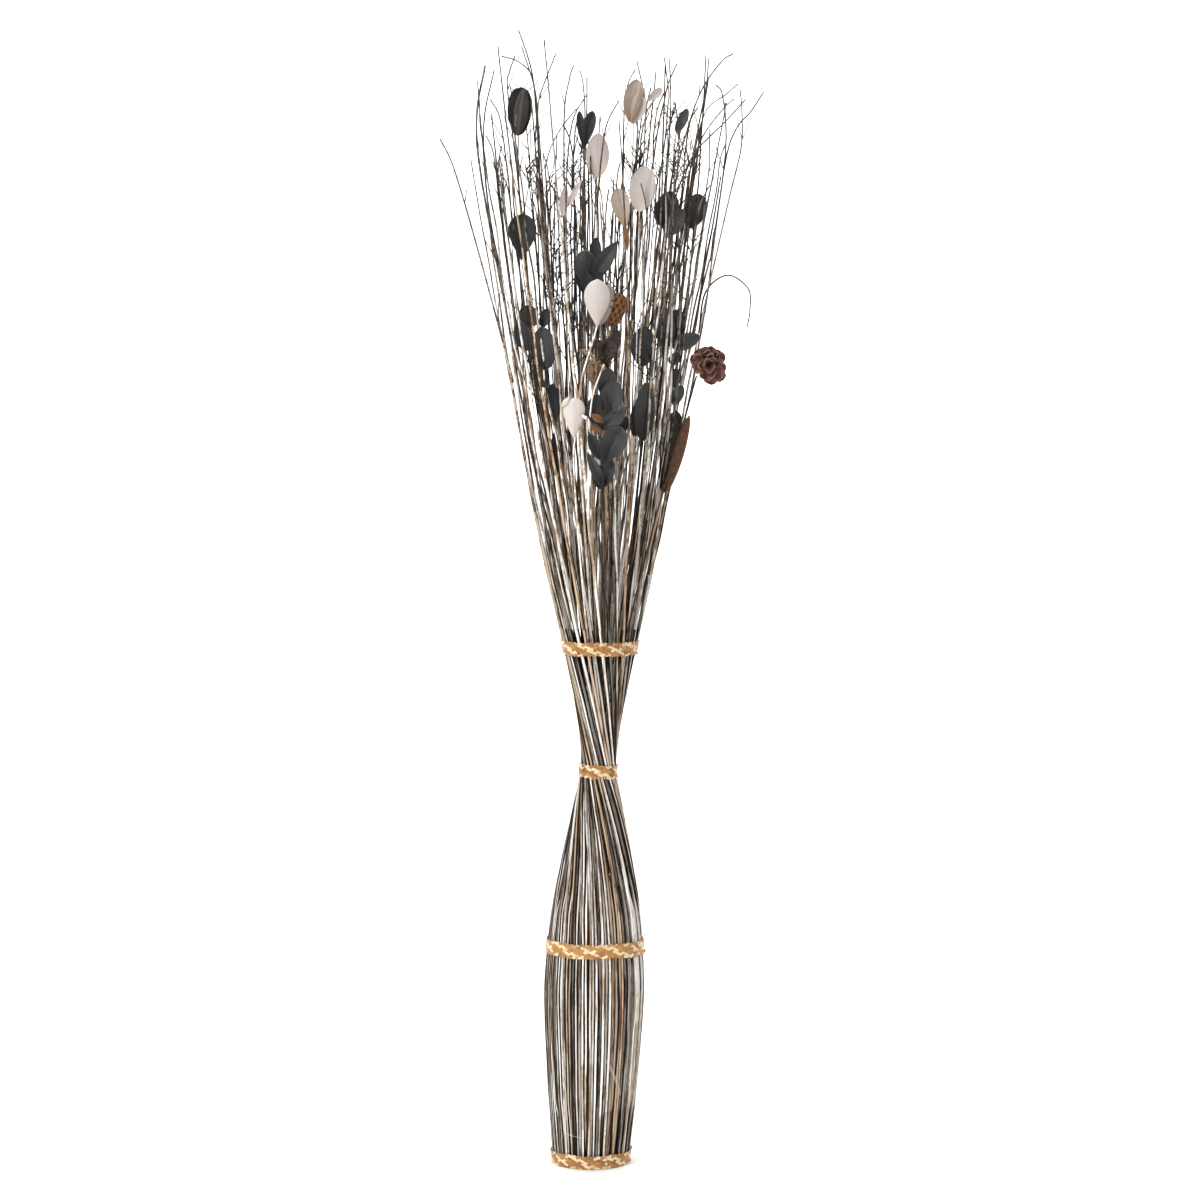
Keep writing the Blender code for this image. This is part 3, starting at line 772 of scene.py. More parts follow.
@dataclass
class Reed:
    """One reed from its cut end to its tip, with the twigs that fork from it."""

    waist_angle: float
    layers: float
    slope: float
    anchors: list[Vector]
    slot: Slot
    radius: float
    seed: float
    twigs: int = 1
    tip_dark: float = 0.8
    swing: float = 0.0012
    thinning: float = 0.52
    lowest_twig: float = 0.84

    def path(self) -> list[Vector]:
        """Its centre line: through the belly and waist, straight up the fan, then through its anchors."""
        first = self.anchors[0]
        low = [LOW_STEP * k for k in range(LOW_POINTS)]
        rise = first.z - FORM.bend_start
        bend = first - FORM.reed_point(self.waist_angle, self.layers, self.slope, first.z)
        steps = max(4, round(rise / FAN_STEP))
        points = []
        for z in low + [FORM.bend_start + rise * k / steps for k in range(steps + 1)]:
            share = max(0.0, (z - FORM.bend_start) / rise)
            point = FORM.reed_point(self.waist_angle, self.layers, self.slope, z) + bend * share ** 2
            loose = self.swing * min(1.0, share * 3) * (1 - share ** 4) + 0.00018
            point.x += loose * wave(z, self.seed, (0.31, 0.17, 0.083))
            point.y += loose * wave(z, self.seed + 1.7, (0.27, 0.15, 0.09))
            points.append(point)
        if len(self.anchors) > 1:
            rest = smooth_path([points[-2], *self.anchors], 5)
            points = points[:-2] + rest
        return points

    def radii(self, path: Sequence[Vector]) -> list[float]:
        """Its radius along the path: even to the collar, then thinner, with faint knots."""
        top = path[-1].z
        made = []
        for k, point in enumerate(path):
            share = min(1.0, max(0.0, (point.z - FORM.bend_start) / (top - FORM.bend_start)))
            if point.z > FORM.bend_start:
                share = max(share, (k / len(path) - 0.5) * 2 if share > 0.97 else share)
            knot = 1.0 + 0.05 * wave(point.z, self.seed, (0.043, 0.11))
            made.append(self.radius * knot * (1.0 - self.thinning * share ** 1.4))
        return made

    def add_to(self, maker: MeshMaker, slot: int = 0) -> None:
        """Adds the reed and its twigs to a mesh."""
        path = self.path()
        radii = self.radii(path)
        tone = 0.5 + 0.5 * math.sin(self.seed * 91.7)
        split = next(i for i, p in enumerate(path) if p.z > FLANK_SPLIT)
        # The lit side faces out from the bunch's axis, turning towards the front higher up, with an offset of
        # its own; the rest takes painted shade.
        offset = 0.8 * math.sin(self.seed * 33.3)
        pale = [math.atan2(p.x - FORM.lean(p.z), -p.y) * min(1.0, (1.3 - p.z) / 0.9) + offset for p in path]
        maker.tube(path[:split + 1], radii[:split + 1], 10, tone, self.seed, slot=slot, pale=pale[:split + 1])
        maker.tube(path[split:], radii[split:], 8, tone, self.seed, (0.0, self.tip_dark), slot,
                   pale=pale[split:], both=True)
        for number in range(self.twigs):
            self.add_twig(maker, path, radii, tone, number, slot)

    def add_twig(self, maker: MeshMaker, path: Sequence[Vector], radii: Sequence[float], tone: float,
                 number: int, slot: int) -> None:
        """Adds one short side twig that leaves the reed at a sharp angle and bends up.

        Args:
            maker: The mesh it goes in.
            path: The reed's centre line.
            radii: The reed's radius at each point.
            tone: The reed's light-to-dark value.
            number: Which of the reed's twigs it is.
            slot: Which of the piece's materials it wears.
        """
        chance = [0.5 + 0.5 * math.sin(self.seed * 57.3 + number * 13.1 + k * 4.7) for k in range(4)]
        start = int(len(path) * (0.66 + 0.27 * chance[0]))
        origin = path[start]
        along = (path[start + 1] - path[start - 1]).normalized()
        spin = ROUGH_TURN * chance[1]
        away = Vector((math.sin(spin), math.cos(spin), 0.0))
        length = min(0.024 + 0.070 * chance[2], TWIG_TOP - origin.z)
        if length < TWIG_LEAST or origin.z < self.lowest_twig:
            return
        points = [origin, origin + along * (0.35 * length) + away * (0.16 * length),
                  origin + along * (0.72 * length) + away * (0.34 * length),
                  origin + along * length + away * ((0.36 + 0.2 * chance[3]) * length)]
        line = smooth_path(points, 4)
        width = min(0.75 * radii[start], 0.0008)
        widths = [width * (1 - 0.45 * k / (len(line) - 1)) for k in range(len(line))]
        maker.tube(line, widths, 5, tone, self.seed + number, (0.6, self.tip_dark), slot)


# Tips and turns of the outer reeds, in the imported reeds' order: reach, height, swing in degrees.
REED_TIPS = [
    (0.03, 1.02, 0), (0.08, 1.1, 2), (0.15, 1.15, 2), (0.13, 1.06, 0), (0.15, 1.165, -2), (0.158, 1.168, 0),
    (0.16, 1.125, 2), (0.172, 1.134, 0), (0.15, 1.14, 3), (0.135, 1.05, 0), (0.15, 1.13, -4),
    (0.158, 1.16, 0), (0.14, 1.1, 3), (0.15, 1.17, 0), (0.13, 1.08, 0), (0.135, 1.12, 0), (0.14, 1.178, 0),
    (0.13, 1.1, -3), (0.145, 1.196, 0), (0.15, 1.12, 3), (0.16, 1.07, 0), (0.135, 1.15, 2),
    (0.17, 1.088, 0), (0.126, 1.162, 0), (0.118, 1.157, -3), (0.12, 1.06, 0), (0.14, 1.174, 0),
    (0.125, 1.12, 2), (0.15, 1.176, 2), (0.03, 1.08, -8),
]

# Outer reeds that end in a shape of their own: points from the lowest to the tip.
SHAPED_TIPS: dict[int, list[Point]] = {
    5: [(0.071, -0.07, 0.99), (0.083, -0.072, 1.065), (0.102, -0.076, 1.126), (0.124, -0.079, 1.159),
        (0.137, -0.079, 1.168)],
    6: [(0.079, -0.052, 1.025), (0.097, -0.052, 1.067), (0.13, -0.05, 1.101), (0.151, -0.048, 1.124)],
    7: [(0.112, -0.015, 0.918), (0.13, -0.016, 1.055), (0.142, -0.017, 1.095), (0.157, -0.018, 1.113),
        (0.171, -0.018, 1.134)],
    8: [(0.105, 0.018, 0.886), (0.136, 0.02, 1.023), (0.149, 0.022, 1.078), (0.15, 0.023, 1.116),
        (0.148, 0.023, 1.14)],
    16: [(-0.038, 0.11, 0.989), (-0.039, 0.125, 1.117), (-0.033, 0.134, 1.162), (-0.028, 0.137, 1.177)],
    18: [(-0.059, 0.095, 0.999), (-0.067, 0.108, 1.115), (-0.071, 0.113, 1.15), (-0.085, 0.117, 1.195)],
    22: [(-0.095, 0.008, 0.845), (-0.132, 0.012, 0.982), (-0.155, 0.016, 1.059), (-0.169, 0.018, 1.088)],
    23: [(-0.095, -0.01, 0.886), (-0.124, -0.012, 1.043), (-0.129, -0.013, 1.109), (-0.12, -0.013, 1.162)],
    24: [(-0.1, -0.028, 0.92), (-0.117, -0.031, 1.02), (-0.121, -0.031, 1.099), (-0.11, -0.03, 1.156)],
}


@dataclass
class OuterRing:
    """The thirty reeds of the outer ring, one piece each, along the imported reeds' own lines."""

    slots: tuple[Slot, ...] = (Slot.WHITE, Slot.TAN, Slot.GREY, Slot.WHITE, Slot.DARK)
    dark_tips: tuple[int, ...] = (5, 6, 23, 18)
    stout_tip: int = 23

    def anchors(self, index: int) -> list[Vector]:
        """Points that a reed passes through on its way from the fan to its tip."""
        if index in SHAPED_TIPS:
            return [Vector(p) for p in SHAPED_TIPS[index]]
        reach, top, swing = REED_TIPS[index]
        return [FORM.around(2 * math.pi * index / FORM.count + math.radians(swing), reach, top)]

    def build(self, finishes: Finishes) -> None:
        """Builds and dresses every reed of the ring."""
        for index in range(FORM.count):
            slot = self.slots[index % len(self.slots)]
            seed = 1.0 + 0.618 * index
            reed = Reed(2 * math.pi * index / FORM.count + math.pi / 2, 0.0, FORM.fan_slope,
                        self.anchors(index), slot, FORM.reed_radius * (1.0 + 0.07 * math.sin(seed * 7)), seed,
                        twigs=2 if index % 3 else 1, tip_dark=0.75, swing=0.001)
            if index in self.dark_tips:
                reed.tip_dark = 1.0
                reed.radius, reed.thinning = (0.0017, 0.30) if index == self.stout_tip else (0.0015, 0.50)
            maker = MeshMaker()
            reed.add_to(maker)
            piece = maker.finish(f"outer_reed_{index + 1:02d}", [finishes[REED_FINISH[slot]]])
            place_piece(piece, slot, f"reed_{index + 1:02d}")


# Inner reeds with tips of their own: how far back each lies, then x and z from the lowest point to the tip.
INNER_TIPS: list[tuple[float, list[tuple[float, float]]]] = [
    (-0.03, [(-0.035, 0.98), (-0.035, 1.041), (-0.029, 1.101), (-0.014, 1.13)]),
    (-0.05, [(0.047, 0.989), (0.059, 1.087), (0.067, 1.124), (0.071, 1.141), (0.08, 1.161)]),
    (-0.06, [(-0.059, 0.999), (-0.063, 1.051), (-0.065, 1.104), (-0.069, 1.143), (-0.074, 1.165),
             (-0.084, 1.194)]),
    (-0.02, [(-0.067, 1.115), (-0.071, 1.15), (-0.085, 1.165), (-0.103, 1.171)]),
    (0.04, [(-0.087, 1.046), (-0.098, 1.14), (-0.096, 1.16), (-0.09, 1.177)]),
    (0.05, [(-0.069, 1.089), (-0.065, 1.131), (-0.051, 1.17), (-0.047, 1.18)]),
    (-0.06, [(-0.003, 1.019), (0.003, 1.076), (0.008, 1.1), (0.019, 1.121)]),
    (0.04, [(0.096, 1.057), (0.104, 1.1), (0.113, 1.147), (0.115, 1.174)]),
    (0.03, [(0.119, 0.972), (0.133, 1.075), (0.13, 1.133), (0.122, 1.146)]),
    (0.03, [(0.094, 1.051), (0.108, 1.09), (0.131, 1.121), (0.142, 1.131)]),
    (0.06, [(-0.058, 1.063), (-0.052, 1.083), (-0.041, 1.103), (-0.025, 1.123)]),
    (0.07, [(-0.015, 1.09), (-0.014, 1.128), (-0.014, 1.157)]),
    (0.03, [(0.073, 1.135), (0.071, 1.152), (0.068, 1.174)]),
    (0.05, [(0.046, 1.142), (0.043, 1.156), (0.039, 1.173)]),
    (0.0, [(0.1, 1.08), (0.112, 1.117), (0.131, 1.132), (0.145, 1.144)]),
]


@dataclass
class InnerReeds:
    """The reeds inside the outer ring: three more layers at the waist, side by side at the belly."""

    # Depth in layers, turn in degrees, and every how many outer reeds one lies there.
    layers: tuple[tuple[float, float, int], ...] = (
        (1.0, 4.0, 1), (2.0, 8.0, 2), (3.0, 8.0, 2), (4.0, 6.0, 2), (4.7, 2.0, 3))
    slots: tuple[Slot, ...] = (Slot.WHITE, Slot.GREY, Slot.WHITE, Slot.DARK, Slot.WHITE, Slot.TAN, Slot.WHITE,
                               Slot.GREY, Slot.WHITE, Slot.TAN, Slot.WHITE)
    clear_front: float = math.radians(38)
    furthest_back: float = 0.119
    fillers: int = 60
    filler_points: int = 26
    filler_top: float = 0.30
    filler_inset: float = 0.0036
    filler_radius: float = 0.00185

    def places(self) -> list[tuple[float, float]]:
        """Waist angle and depth in layers of each inner reed."""
        made = []
        for depth, offset, every in self.layers:
            first = 1 if depth == 3.0 else 0
            for index in range(first, FORM.count, every):
                made.append((2 * math.pi * index / FORM.count + math.pi / 2 + math.radians(offset), depth))
        return made

    def tip_for(self, fan_angle: float, depth: float, pick: Callable[[], float]) -> list[Vector]:
        """The bent tip of an ordinary reed: outer layers reach far, inner ones stay near the middle.

        Args:
            fan_angle: The reed's angle from the front, in the fan.
            depth: How many layers inside the outer ring it lies.
            pick: Draws the next random number.

        Returns:
            Three points, from the knee to the tip.
        """
        reach = (0.152 - 0.022 * depth) * (0.66 + 0.34 * math.sqrt(pick()))
        height = 1.03 + 0.135 * pick()
        if depth >= 3:
            reach = 0.012 + 0.085 * pick()
        front = math.atan2(math.sin(fan_angle), math.cos(fan_angle))
        if abs(front) < self.clear_front:
            reach = min(reach, 0.010 + 0.030 * pick())
            height = min(height, 0.90 + 0.08 * pick())
        knee = FORM.around(fan_angle + 0.1 * (pick() - 0.5), reach, height - 0.045)
        side = Vector((0.026 * (pick() - 0.5) + 0.008 * math.sin(fan_angle), 0.012 * (pick() - 0.5), 0.0))
        knee.y = min(knee.y, self.furthest_back)
        return [knee, knee + 0.35 * side + UP * 0.026, knee + side + UP * (0.040 + 0.006 * pick())]

    def shaped(self, places: Sequence[tuple[float, float]]) -> dict[int, list[Vector]]:
        """Gives each shaped tip to the reed that comes nearest to it.

        Args:
            places: Waist angle and depth of each inner reed.

        Returns:
            The tips' points, by the reed's number.
        """
        made: dict[int, list[Vector]] = {}
        for back, route in INNER_TIPS:
            points = [Vector((x, back, z)) for x, z in route]
            waist_angle = math.atan2(points[0].x, -back) + math.pi / 2
            off = {k: abs(math.remainder(place[0] - waist_angle, 2 * math.pi))
                   for k, place in enumerate(places) if k not in made}
            made[min(off, key=off.get)] = points
        return made

    def build(self, finishes: Finishes) -> None:
        """Builds the reeds as one mesh for each colour, so that none is a solid of its own."""
        pick = np.random.default_rng(17).random
        places = self.places()
        special = self.shaped(places)
        makers = {slot: MeshMaker() for slot in REED_FINISH}
        for number, (waist_angle, depth) in enumerate(places):
            anchors = special.get(number) or self.tip_for(waist_angle - math.pi / 2, depth, pick)
            target = anchors[0]
            run = math.hypot(target.x, target.y) / (target.z - FORM.waist_z)
            slope = min(0.24 - 0.012 * depth, 1.12 * run + 0.01)
            slot = self.slots[(number * 7 + int(depth)) % len(self.slots)]
            radius = FORM.reed_radius * (0.92 + 0.14 * pick())
            reed = Reed(waist_angle, depth, slope, anchors, slot, radius, 3.0 + 0.377 * number,
                        twigs=3 + (number % 2), tip_dark=0.75 + 0.25 * pick(), swing=0.0035)
            reed.add_to(makers[slot])
        # Short dark reeds just inside the belly with their lit side turned inwards, so that the gaps between
        # the outer reeds show their painted shade.
        for number in range(self.fillers):
            angle = 2 * math.pi * (number + 0.5 * (pick() - 0.5)) / self.fillers
            line = [FORM.around(angle, FORM.below(z) - self.filler_inset, z)
                    for z in np.linspace(0.002, self.filler_top, self.filler_points)]
            slot = Slot.DARK if number % 3 else Slot.GREY
            makers[slot].tube(line, [self.filler_radius] * len(line), 8, 0.1, 20.0 + number,
                              pale=[math.pi + angle] * len(line))
        for slot, maker in makers.items():
            piece = maker.finish(f"inner_reeds_{slot.value.split('_')[0]}", [finishes[REED_FINISH[slot]]])
            place_piece(piece, slot, "inner_reeds")


# ---- plaited bands --------------------------------------------------------------------------------
# A strand's section: shares of its half width and of half its thickness.
STRAND_SECTION = ((-1.0, 0.0), (-0.7, 0.8), (0.0, 1.0), (0.7, 0.8), (1.0, 0.0), (0.7, -0.8), (-0.7, -0.8))
EDGE_DRAWS = 64       # random reaches to the plait's edges, taken in turn
LEAST_HEIGHT = 0.0002


@dataclass
class PlaitedBand:
    """A flat nine-strand straw plait wound once round the reeds and lapped over its own start."""

    node: str
    seam: float
    seed: int
    bottom: float
    top: float
    tilt: float = 0.0
    strands: int = 9
    period: float = 0.056
    strand_width: float = 0.0034
    strand_thick: float = 0.00040
    layer: float = 0.00018
    lap: float = 0.016
    lap_ramp: float = 0.012
    lap_lift: float = 0.0012
    step: float = 0.00055
    loose_ends: int = 64
    lap_ends: int = 16

    def around(self) -> float:
        """Length of the band's inner face, once round the reeds."""
        return 2 * math.pi * self.inner_radius(0.5 * (self.bottom + self.top))

    def inner_radius(self, z: float) -> float:
        """Radius of the band's inner face at height z."""
        if self.bottom < FORM.waist_z < self.top:
            z = self.top
        return FORM.ring_radius(max(z, 0.004)) + FORM.reed_radius + FORM.gap

    def surface(self, run: float, height: float, lift: float) -> Vector:
        """A point on the band.

        Args:
            run: Distance along the plait from its start.
            height: Place across the plait, from -1 at its lower edge to 1.
            lift: Distance out from its inner face.

        Returns:
            The point in the row frame.
        """
        middle = 0.5 * (self.bottom + self.top)
        z = middle + 0.5 * (self.top - self.bottom) * height
        mean = self.inner_radius(middle)
        angle = self.seam + run / mean
        z = max(z + self.tilt * math.sin(angle) + 0.0004 * math.sin(5 * angle + self.seed), self.strand_thick)
        radius = self.inner_radius(z) + lift
        return Vector((FORM.lean(middle) + radius * math.sin(angle), -radius * math.cos(angle), z))

    def add_strand(self, maker: MeshMaker, number: int, rng: np.random.Generator) -> None:
        """Adds one strand, which zigzags from edge to edge: over to the middle and under to the far edge.

        Args:
            maker: The mesh it goes in.
            number: Which strand it is.
            rng: The band's own random numbers.
        """
        around = self.around()
        length = around + self.lap + 0.003 * rng.random()
        steps = round(length / self.step)
        reach = 0.86 + 0.10 * rng.random(EDGE_DRAWS)
        centres = []
        for k in range(steps + 1):
            run = length * k / steps
            turns = run / self.period + number / self.strands
            share = turns % 1.0
            swing = -1 + 4 * share if share < 0.5 else 3 - 4 * share
            rounded = math.sin(swing * math.pi / 2) * 0.35 + swing * 0.65
            height = rounded * float(reach[int(turns * 2) % EDGE_DRAWS])
            edge = min(1.0, 9 * min(share, abs(share - 0.5), 1.0 - share))
            rising, climbed = (1.0, share) if share < 0.5 else (-1.0, 1.0 - share)
            crossing = math.tanh(2 * math.cos(math.pi * (self.strands * climbed - 0.25)))
            over = self.layer * edge * rising * crossing
            lapped = min(1.0, max(0.0, (run - around + self.lap_ramp) / self.lap_ramp))
            centres.append((run, height, 0.0006 + over + self.lap_lift * lapped))
        line = [self.surface(*c) for c in centres]
        rows, grain = [], []
        half = 0.5 * self.strand_width * (0.92 + 0.14 * rng.random())
        seed = rng.random() * 9
        for k, point in enumerate(line):
            ahead = (line[min(k + 1, steps)] - line[max(k - 1, 0)]).normalized()
            run, height, lift = centres[k]
            out = (self.surface(run, height, lift + 0.001) - point).normalized()
            across = ahead.cross(out).normalized()
            taper = min(1.0, 0.5 + (steps - k) / 8)
            for a, b in STRAND_SECTION:
                corner = point + across * (a * half * taper) + out * (0.5 * self.strand_thick * b)
                corner.z = max(corner.z, LEAST_HEIGHT)
                rows.append(tuple(corner))
                grain.append((a * half + seed, 0.0004 * b, run))
        faces = ring_faces(steps + 1, len(STRAND_SECTION), flipped=True)
        tone = 0.95 if number in (1, 2, 6) else 0.24 + 0.24 * rng.random()
        maker.add(np.array(rows), faces, np.array(grain), tone, np.zeros(len(rows)))

    def add_ends(self, maker: MeshMaker, rng: np.random.Generator) -> None:
        """Adds the short straw ends that stick out along the edges and at the lap.

        Args:
            maker: The mesh they go in.
            rng: The band's own random numbers.
        """
        around = self.around()
        for number in range(self.loose_ends):
            run = (self.lap if number < self.lap_ends else around) * rng.random()
            edge = 1.0 if rng.random() < 0.5 else -1.0
            start = self.surface(run, 0.8 * edge, 0.0011)
            end = self.surface(run + 0.006 * (rng.random() - 0.5), edge * (1.02 + 0.22 * rng.random()),
                               0.0014 + 0.0009 * rng.random())
            end.z = max(end.z, 3 * LEAST_HEIGHT)
            middle = start.lerp(end, 0.6) + (end - start).cross(UP) * 0.15
            line = smooth_path([start, middle, end], 3)
            maker.tube(line, [0.00055 - 0.00003 * k for k in range(len(line))], 5, rng.random(),
                       rng.random() * 7, flat=0.5)

    def build(self, finishes: Finishes) -> None:
        """Builds and dresses the band."""
        rng = np.random.default_rng(self.seed)
        maker = MeshMaker()
        for number in range(self.strands):
            self.add_strand(maker, number, rng)
        self.add_ends(maker, rng)
        piece = maker.finish(self.node.replace("band", "plait"), [finishes["golden_straw"]])
        place_piece(piece, Slot.STRAW, self.node)


# ---- leaves ---------------------------------------------------------------------------------------
@dataclass
class Blade:
    """One leaf blade from its base to its tip, cupped, folded, curled or waved."""

    base: Point
    tip: Point
    width: float
    outline: Outline = Outline.OVAL
    cup: float = 0.004
    fold: float = 0.0
    curl: float = 0.0
    wave: float = 0.0
    twist: float = 0.0
    turn: float = 0.0
    thick: float = 0.0006
    tone: float = 0.5
    slot: int = 0
    notches: float = 0.0

    def half_width(self, along: float, side: float) -> float:
        """Half the blade's width at a share of its length, on one side."""
        peak, roundness = self.outline.value
        share = min(max(along, 0.0), 1.0)
        full = max(0.0, math.sin(math.pi * share ** peak)) ** roundness
        ragged = 1.0 - self.notches * abs(math.sin(7.0 * share + 2.0 * side)) * (0.4 + 0.6 * share)
        return 0.5 * self.width * max(full * ragged, 0.03)

    def add_to(self, maker: MeshMaker, seed: float) -> None:
        """Adds the blade to a mesh."""
        base, tip = Vector(self.base), Vector(self.tip)
        axis = tip - base
        length = axis.length
        axis.normalize()
        side = FRONT.cross(axis).normalized()
        facing = axis.cross(side).normalized()
        spin = math.radians(self.turn)
        side, facing = (side * math.cos(spin) + facing * math.sin(spin),
                        facing * math.cos(spin) - side * math.sin(spin))

        def place(s: float, t: float) -> Vector:
            """The blade's middle surface at (s across, t along)."""
            spun = self.twist * (t - 0.5)
            across = side * math.cos(spun) + facing * math.sin(spun)
            out = facing * math.cos(spun) - side * math.sin(spun)
            wide = self.half_width(t, math.copysign(1.0, s))
            rounded = math.sqrt(max(wide, 1e-6) / (0.5 * self.width))
            lift = (-self.cup * (1 - s * s) * rounded + self.fold * (abs(s) - 0.5) * rounded
                    + self.curl * (t * t - 0.3)
                    + self.wave * math.sin(9 * t + 2.5 * s + seed) * abs(s) * rounded)
            return base + axis * (length * t) + across * (wide * s) + out * lift

        maker.sheet(place, 14, 24, self.thick, (0.5 * self.width, length), self.tone, seed, self.slot)


@dataclass
class Stalk:
    """A thin stalk, from among the reeds at the collar up to its leaf."""

    route: list[Point]
    radius: float = 0.0009
    slot: int = 1
    tone: float = 0.5

    def add_to(self, maker: MeshMaker, seed: float) -> None:
        """Adds the stalk to a mesh."""
        line = smooth_path([Vector(p) for p in self.route], 9)
        count = len(line) - 1
        radii = [self.radius * (1.0 - 0.35 * k / count) * (1 + 0.08 * math.sin(k * 1.9 + seed))
                 for k in range(count + 1)]
        maker.tube(line, radii, 6, self.tone, seed, (0.0, 0.25), self.slot)


def stalk_root(angle: float) -> Point:
    """Where a stalk is pushed in among the reeds, at an angle in degrees from the front."""
    return tuple(FORM.around(math.radians(angle), 0.012, 0.482))


@dataclass
class LeafPiece:
    """A leaf or a spray of leaves, with its stalks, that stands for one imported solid."""

    name: str
    node: str
    slot: Slot
    materials: tuple[str, ...]
    blades: list[Blade]
    stalks: list[Stalk]

    def build(self, finishes: Finishes, seed: float) -> None:
        """Builds and dresses the piece."""
        maker = MeshMaker()
        for number, blade in enumerate(self.blades):
            blade.add_to(maker, seed + 0.71 * number)
        for number, stalk in enumerate(self.stalks):
            stalk.add_to(maker, seed + 1.3 * number)
        piece = maker.finish(self.name, [finishes[m] for m in self.materials])
        place_piece(piece, self.slot, self.node)


def charcoal_leaves() -> list[LeafPiece]:
    """The single charcoal leaves."""
    dark, streaked, slate = "charcoal_skin", "streaked_charcoal", "slate_skin"
    twig, grey = "wiry_twig", "weathered_reed"
    base = (-0.085, -0.040, 1.087)
    return [
        LeafPiece("tulip_leaf_top_left", "charcoal_leaf_top_left", Slot.CHARCOAL, (streaked, twig), [
            Blade(base, (-0.082, -0.04, 1.137), 0.0255, Outline.TULIP, cup=0.006, wave=0.0008),
            Blade((-0.085, -0.044, 1.088), (-0.079, -0.041, 1.135), 0.015, cup=-0.003, tone=0.7),
        ], [
            Stalk([stalk_root(-64), (-0.062, -0.034, 0.82), (-0.083, -0.038, 1.02), base], 0.0011),
            Stalk([(-0.083, -0.038, 1.02), (-0.092, -0.036, 1.052), (-0.098, -0.036, 1.078)], 0.0006),
            Stalk([(-0.081, -0.038, 1.0), (-0.074, -0.036, 1.04), (-0.072, -0.036, 1.1)], 0.0007),
        ]),
        LeafPiece("round_leaf_left", "charcoal_leaf_left", Slot.CHARCOAL, (dark, twig), [
            Blade((-0.0815, -0.05, 0.958), (-0.08, -0.05, 1.006), 0.0295, Outline.TEARDROP, cup=0.005,
                  fold=0.004),
        ], [
            Stalk([stalk_root(-56), (-0.055, -0.036, 0.74), (-0.0815, -0.05, 0.96)]),
        ]),
        LeafPiece("small_leaf_right", "charcoal_leaf_small", Slot.CHARCOAL, (slate, twig), [
            Blade((0.08, 0.0, 1.093), (0.092, 0.0, 1.118), 0.011, cup=0.002),
        ], [
            Stalk([stalk_root(89), (0.06, 0.0, 0.82), (0.076, 0.0, 1.05), (0.08, 0.0, 1.094)]),
        ]),
        LeafPiece("cupped_leaves_right", "charcoal_leaf_cup", Slot.CHARCOAL, (dark, twig, slate), [
            Blade((0.066, -0.02, 0.992), (0.074, -0.02, 1.031), 0.0255, fold=0.003),
            Blade((0.068, -0.026, 0.983), (0.087, -0.026, 1.012), 0.018, slot=2, curl=-0.004),
        ], [
            Stalk([stalk_root(81), (0.048, -0.018, 0.76), (0.067, -0.02, 0.985)]),
        ]),
        LeafPiece("jagged_leaf_right", "charcoal_leaf_jagged", Slot.CHARCOAL, (dark, twig), [
            Blade((0.095, 0.02, 0.994), (0.106, 0.02, 1.03), 0.024, Outline.TULIP, cup=0.003, fold=0.002,
                  notches=0.16, tone=0.62),
        ], [
            Stalk([stalk_root(97), (0.066, 0.012, 0.78), (0.095, 0.02, 0.996)]),
        ]),
        LeafPiece("small_leaves_low_right", "charcoal_leaf_low_right", Slot.CHARCOAL, (slate, grey, dark), [
            Blade((0.075, -0.04, 0.808), (0.086, -0.04, 0.828), 0.013),
            Blade((0.076, -0.036, 0.826), (0.08, -0.036, 0.846), 0.014, cup=0.003, slot=2, tone=0.2),
        ], [
            Stalk([stalk_root(62), (0.052, -0.034, 0.67), (0.075, -0.04, 0.81)]),
        ]),
    ]


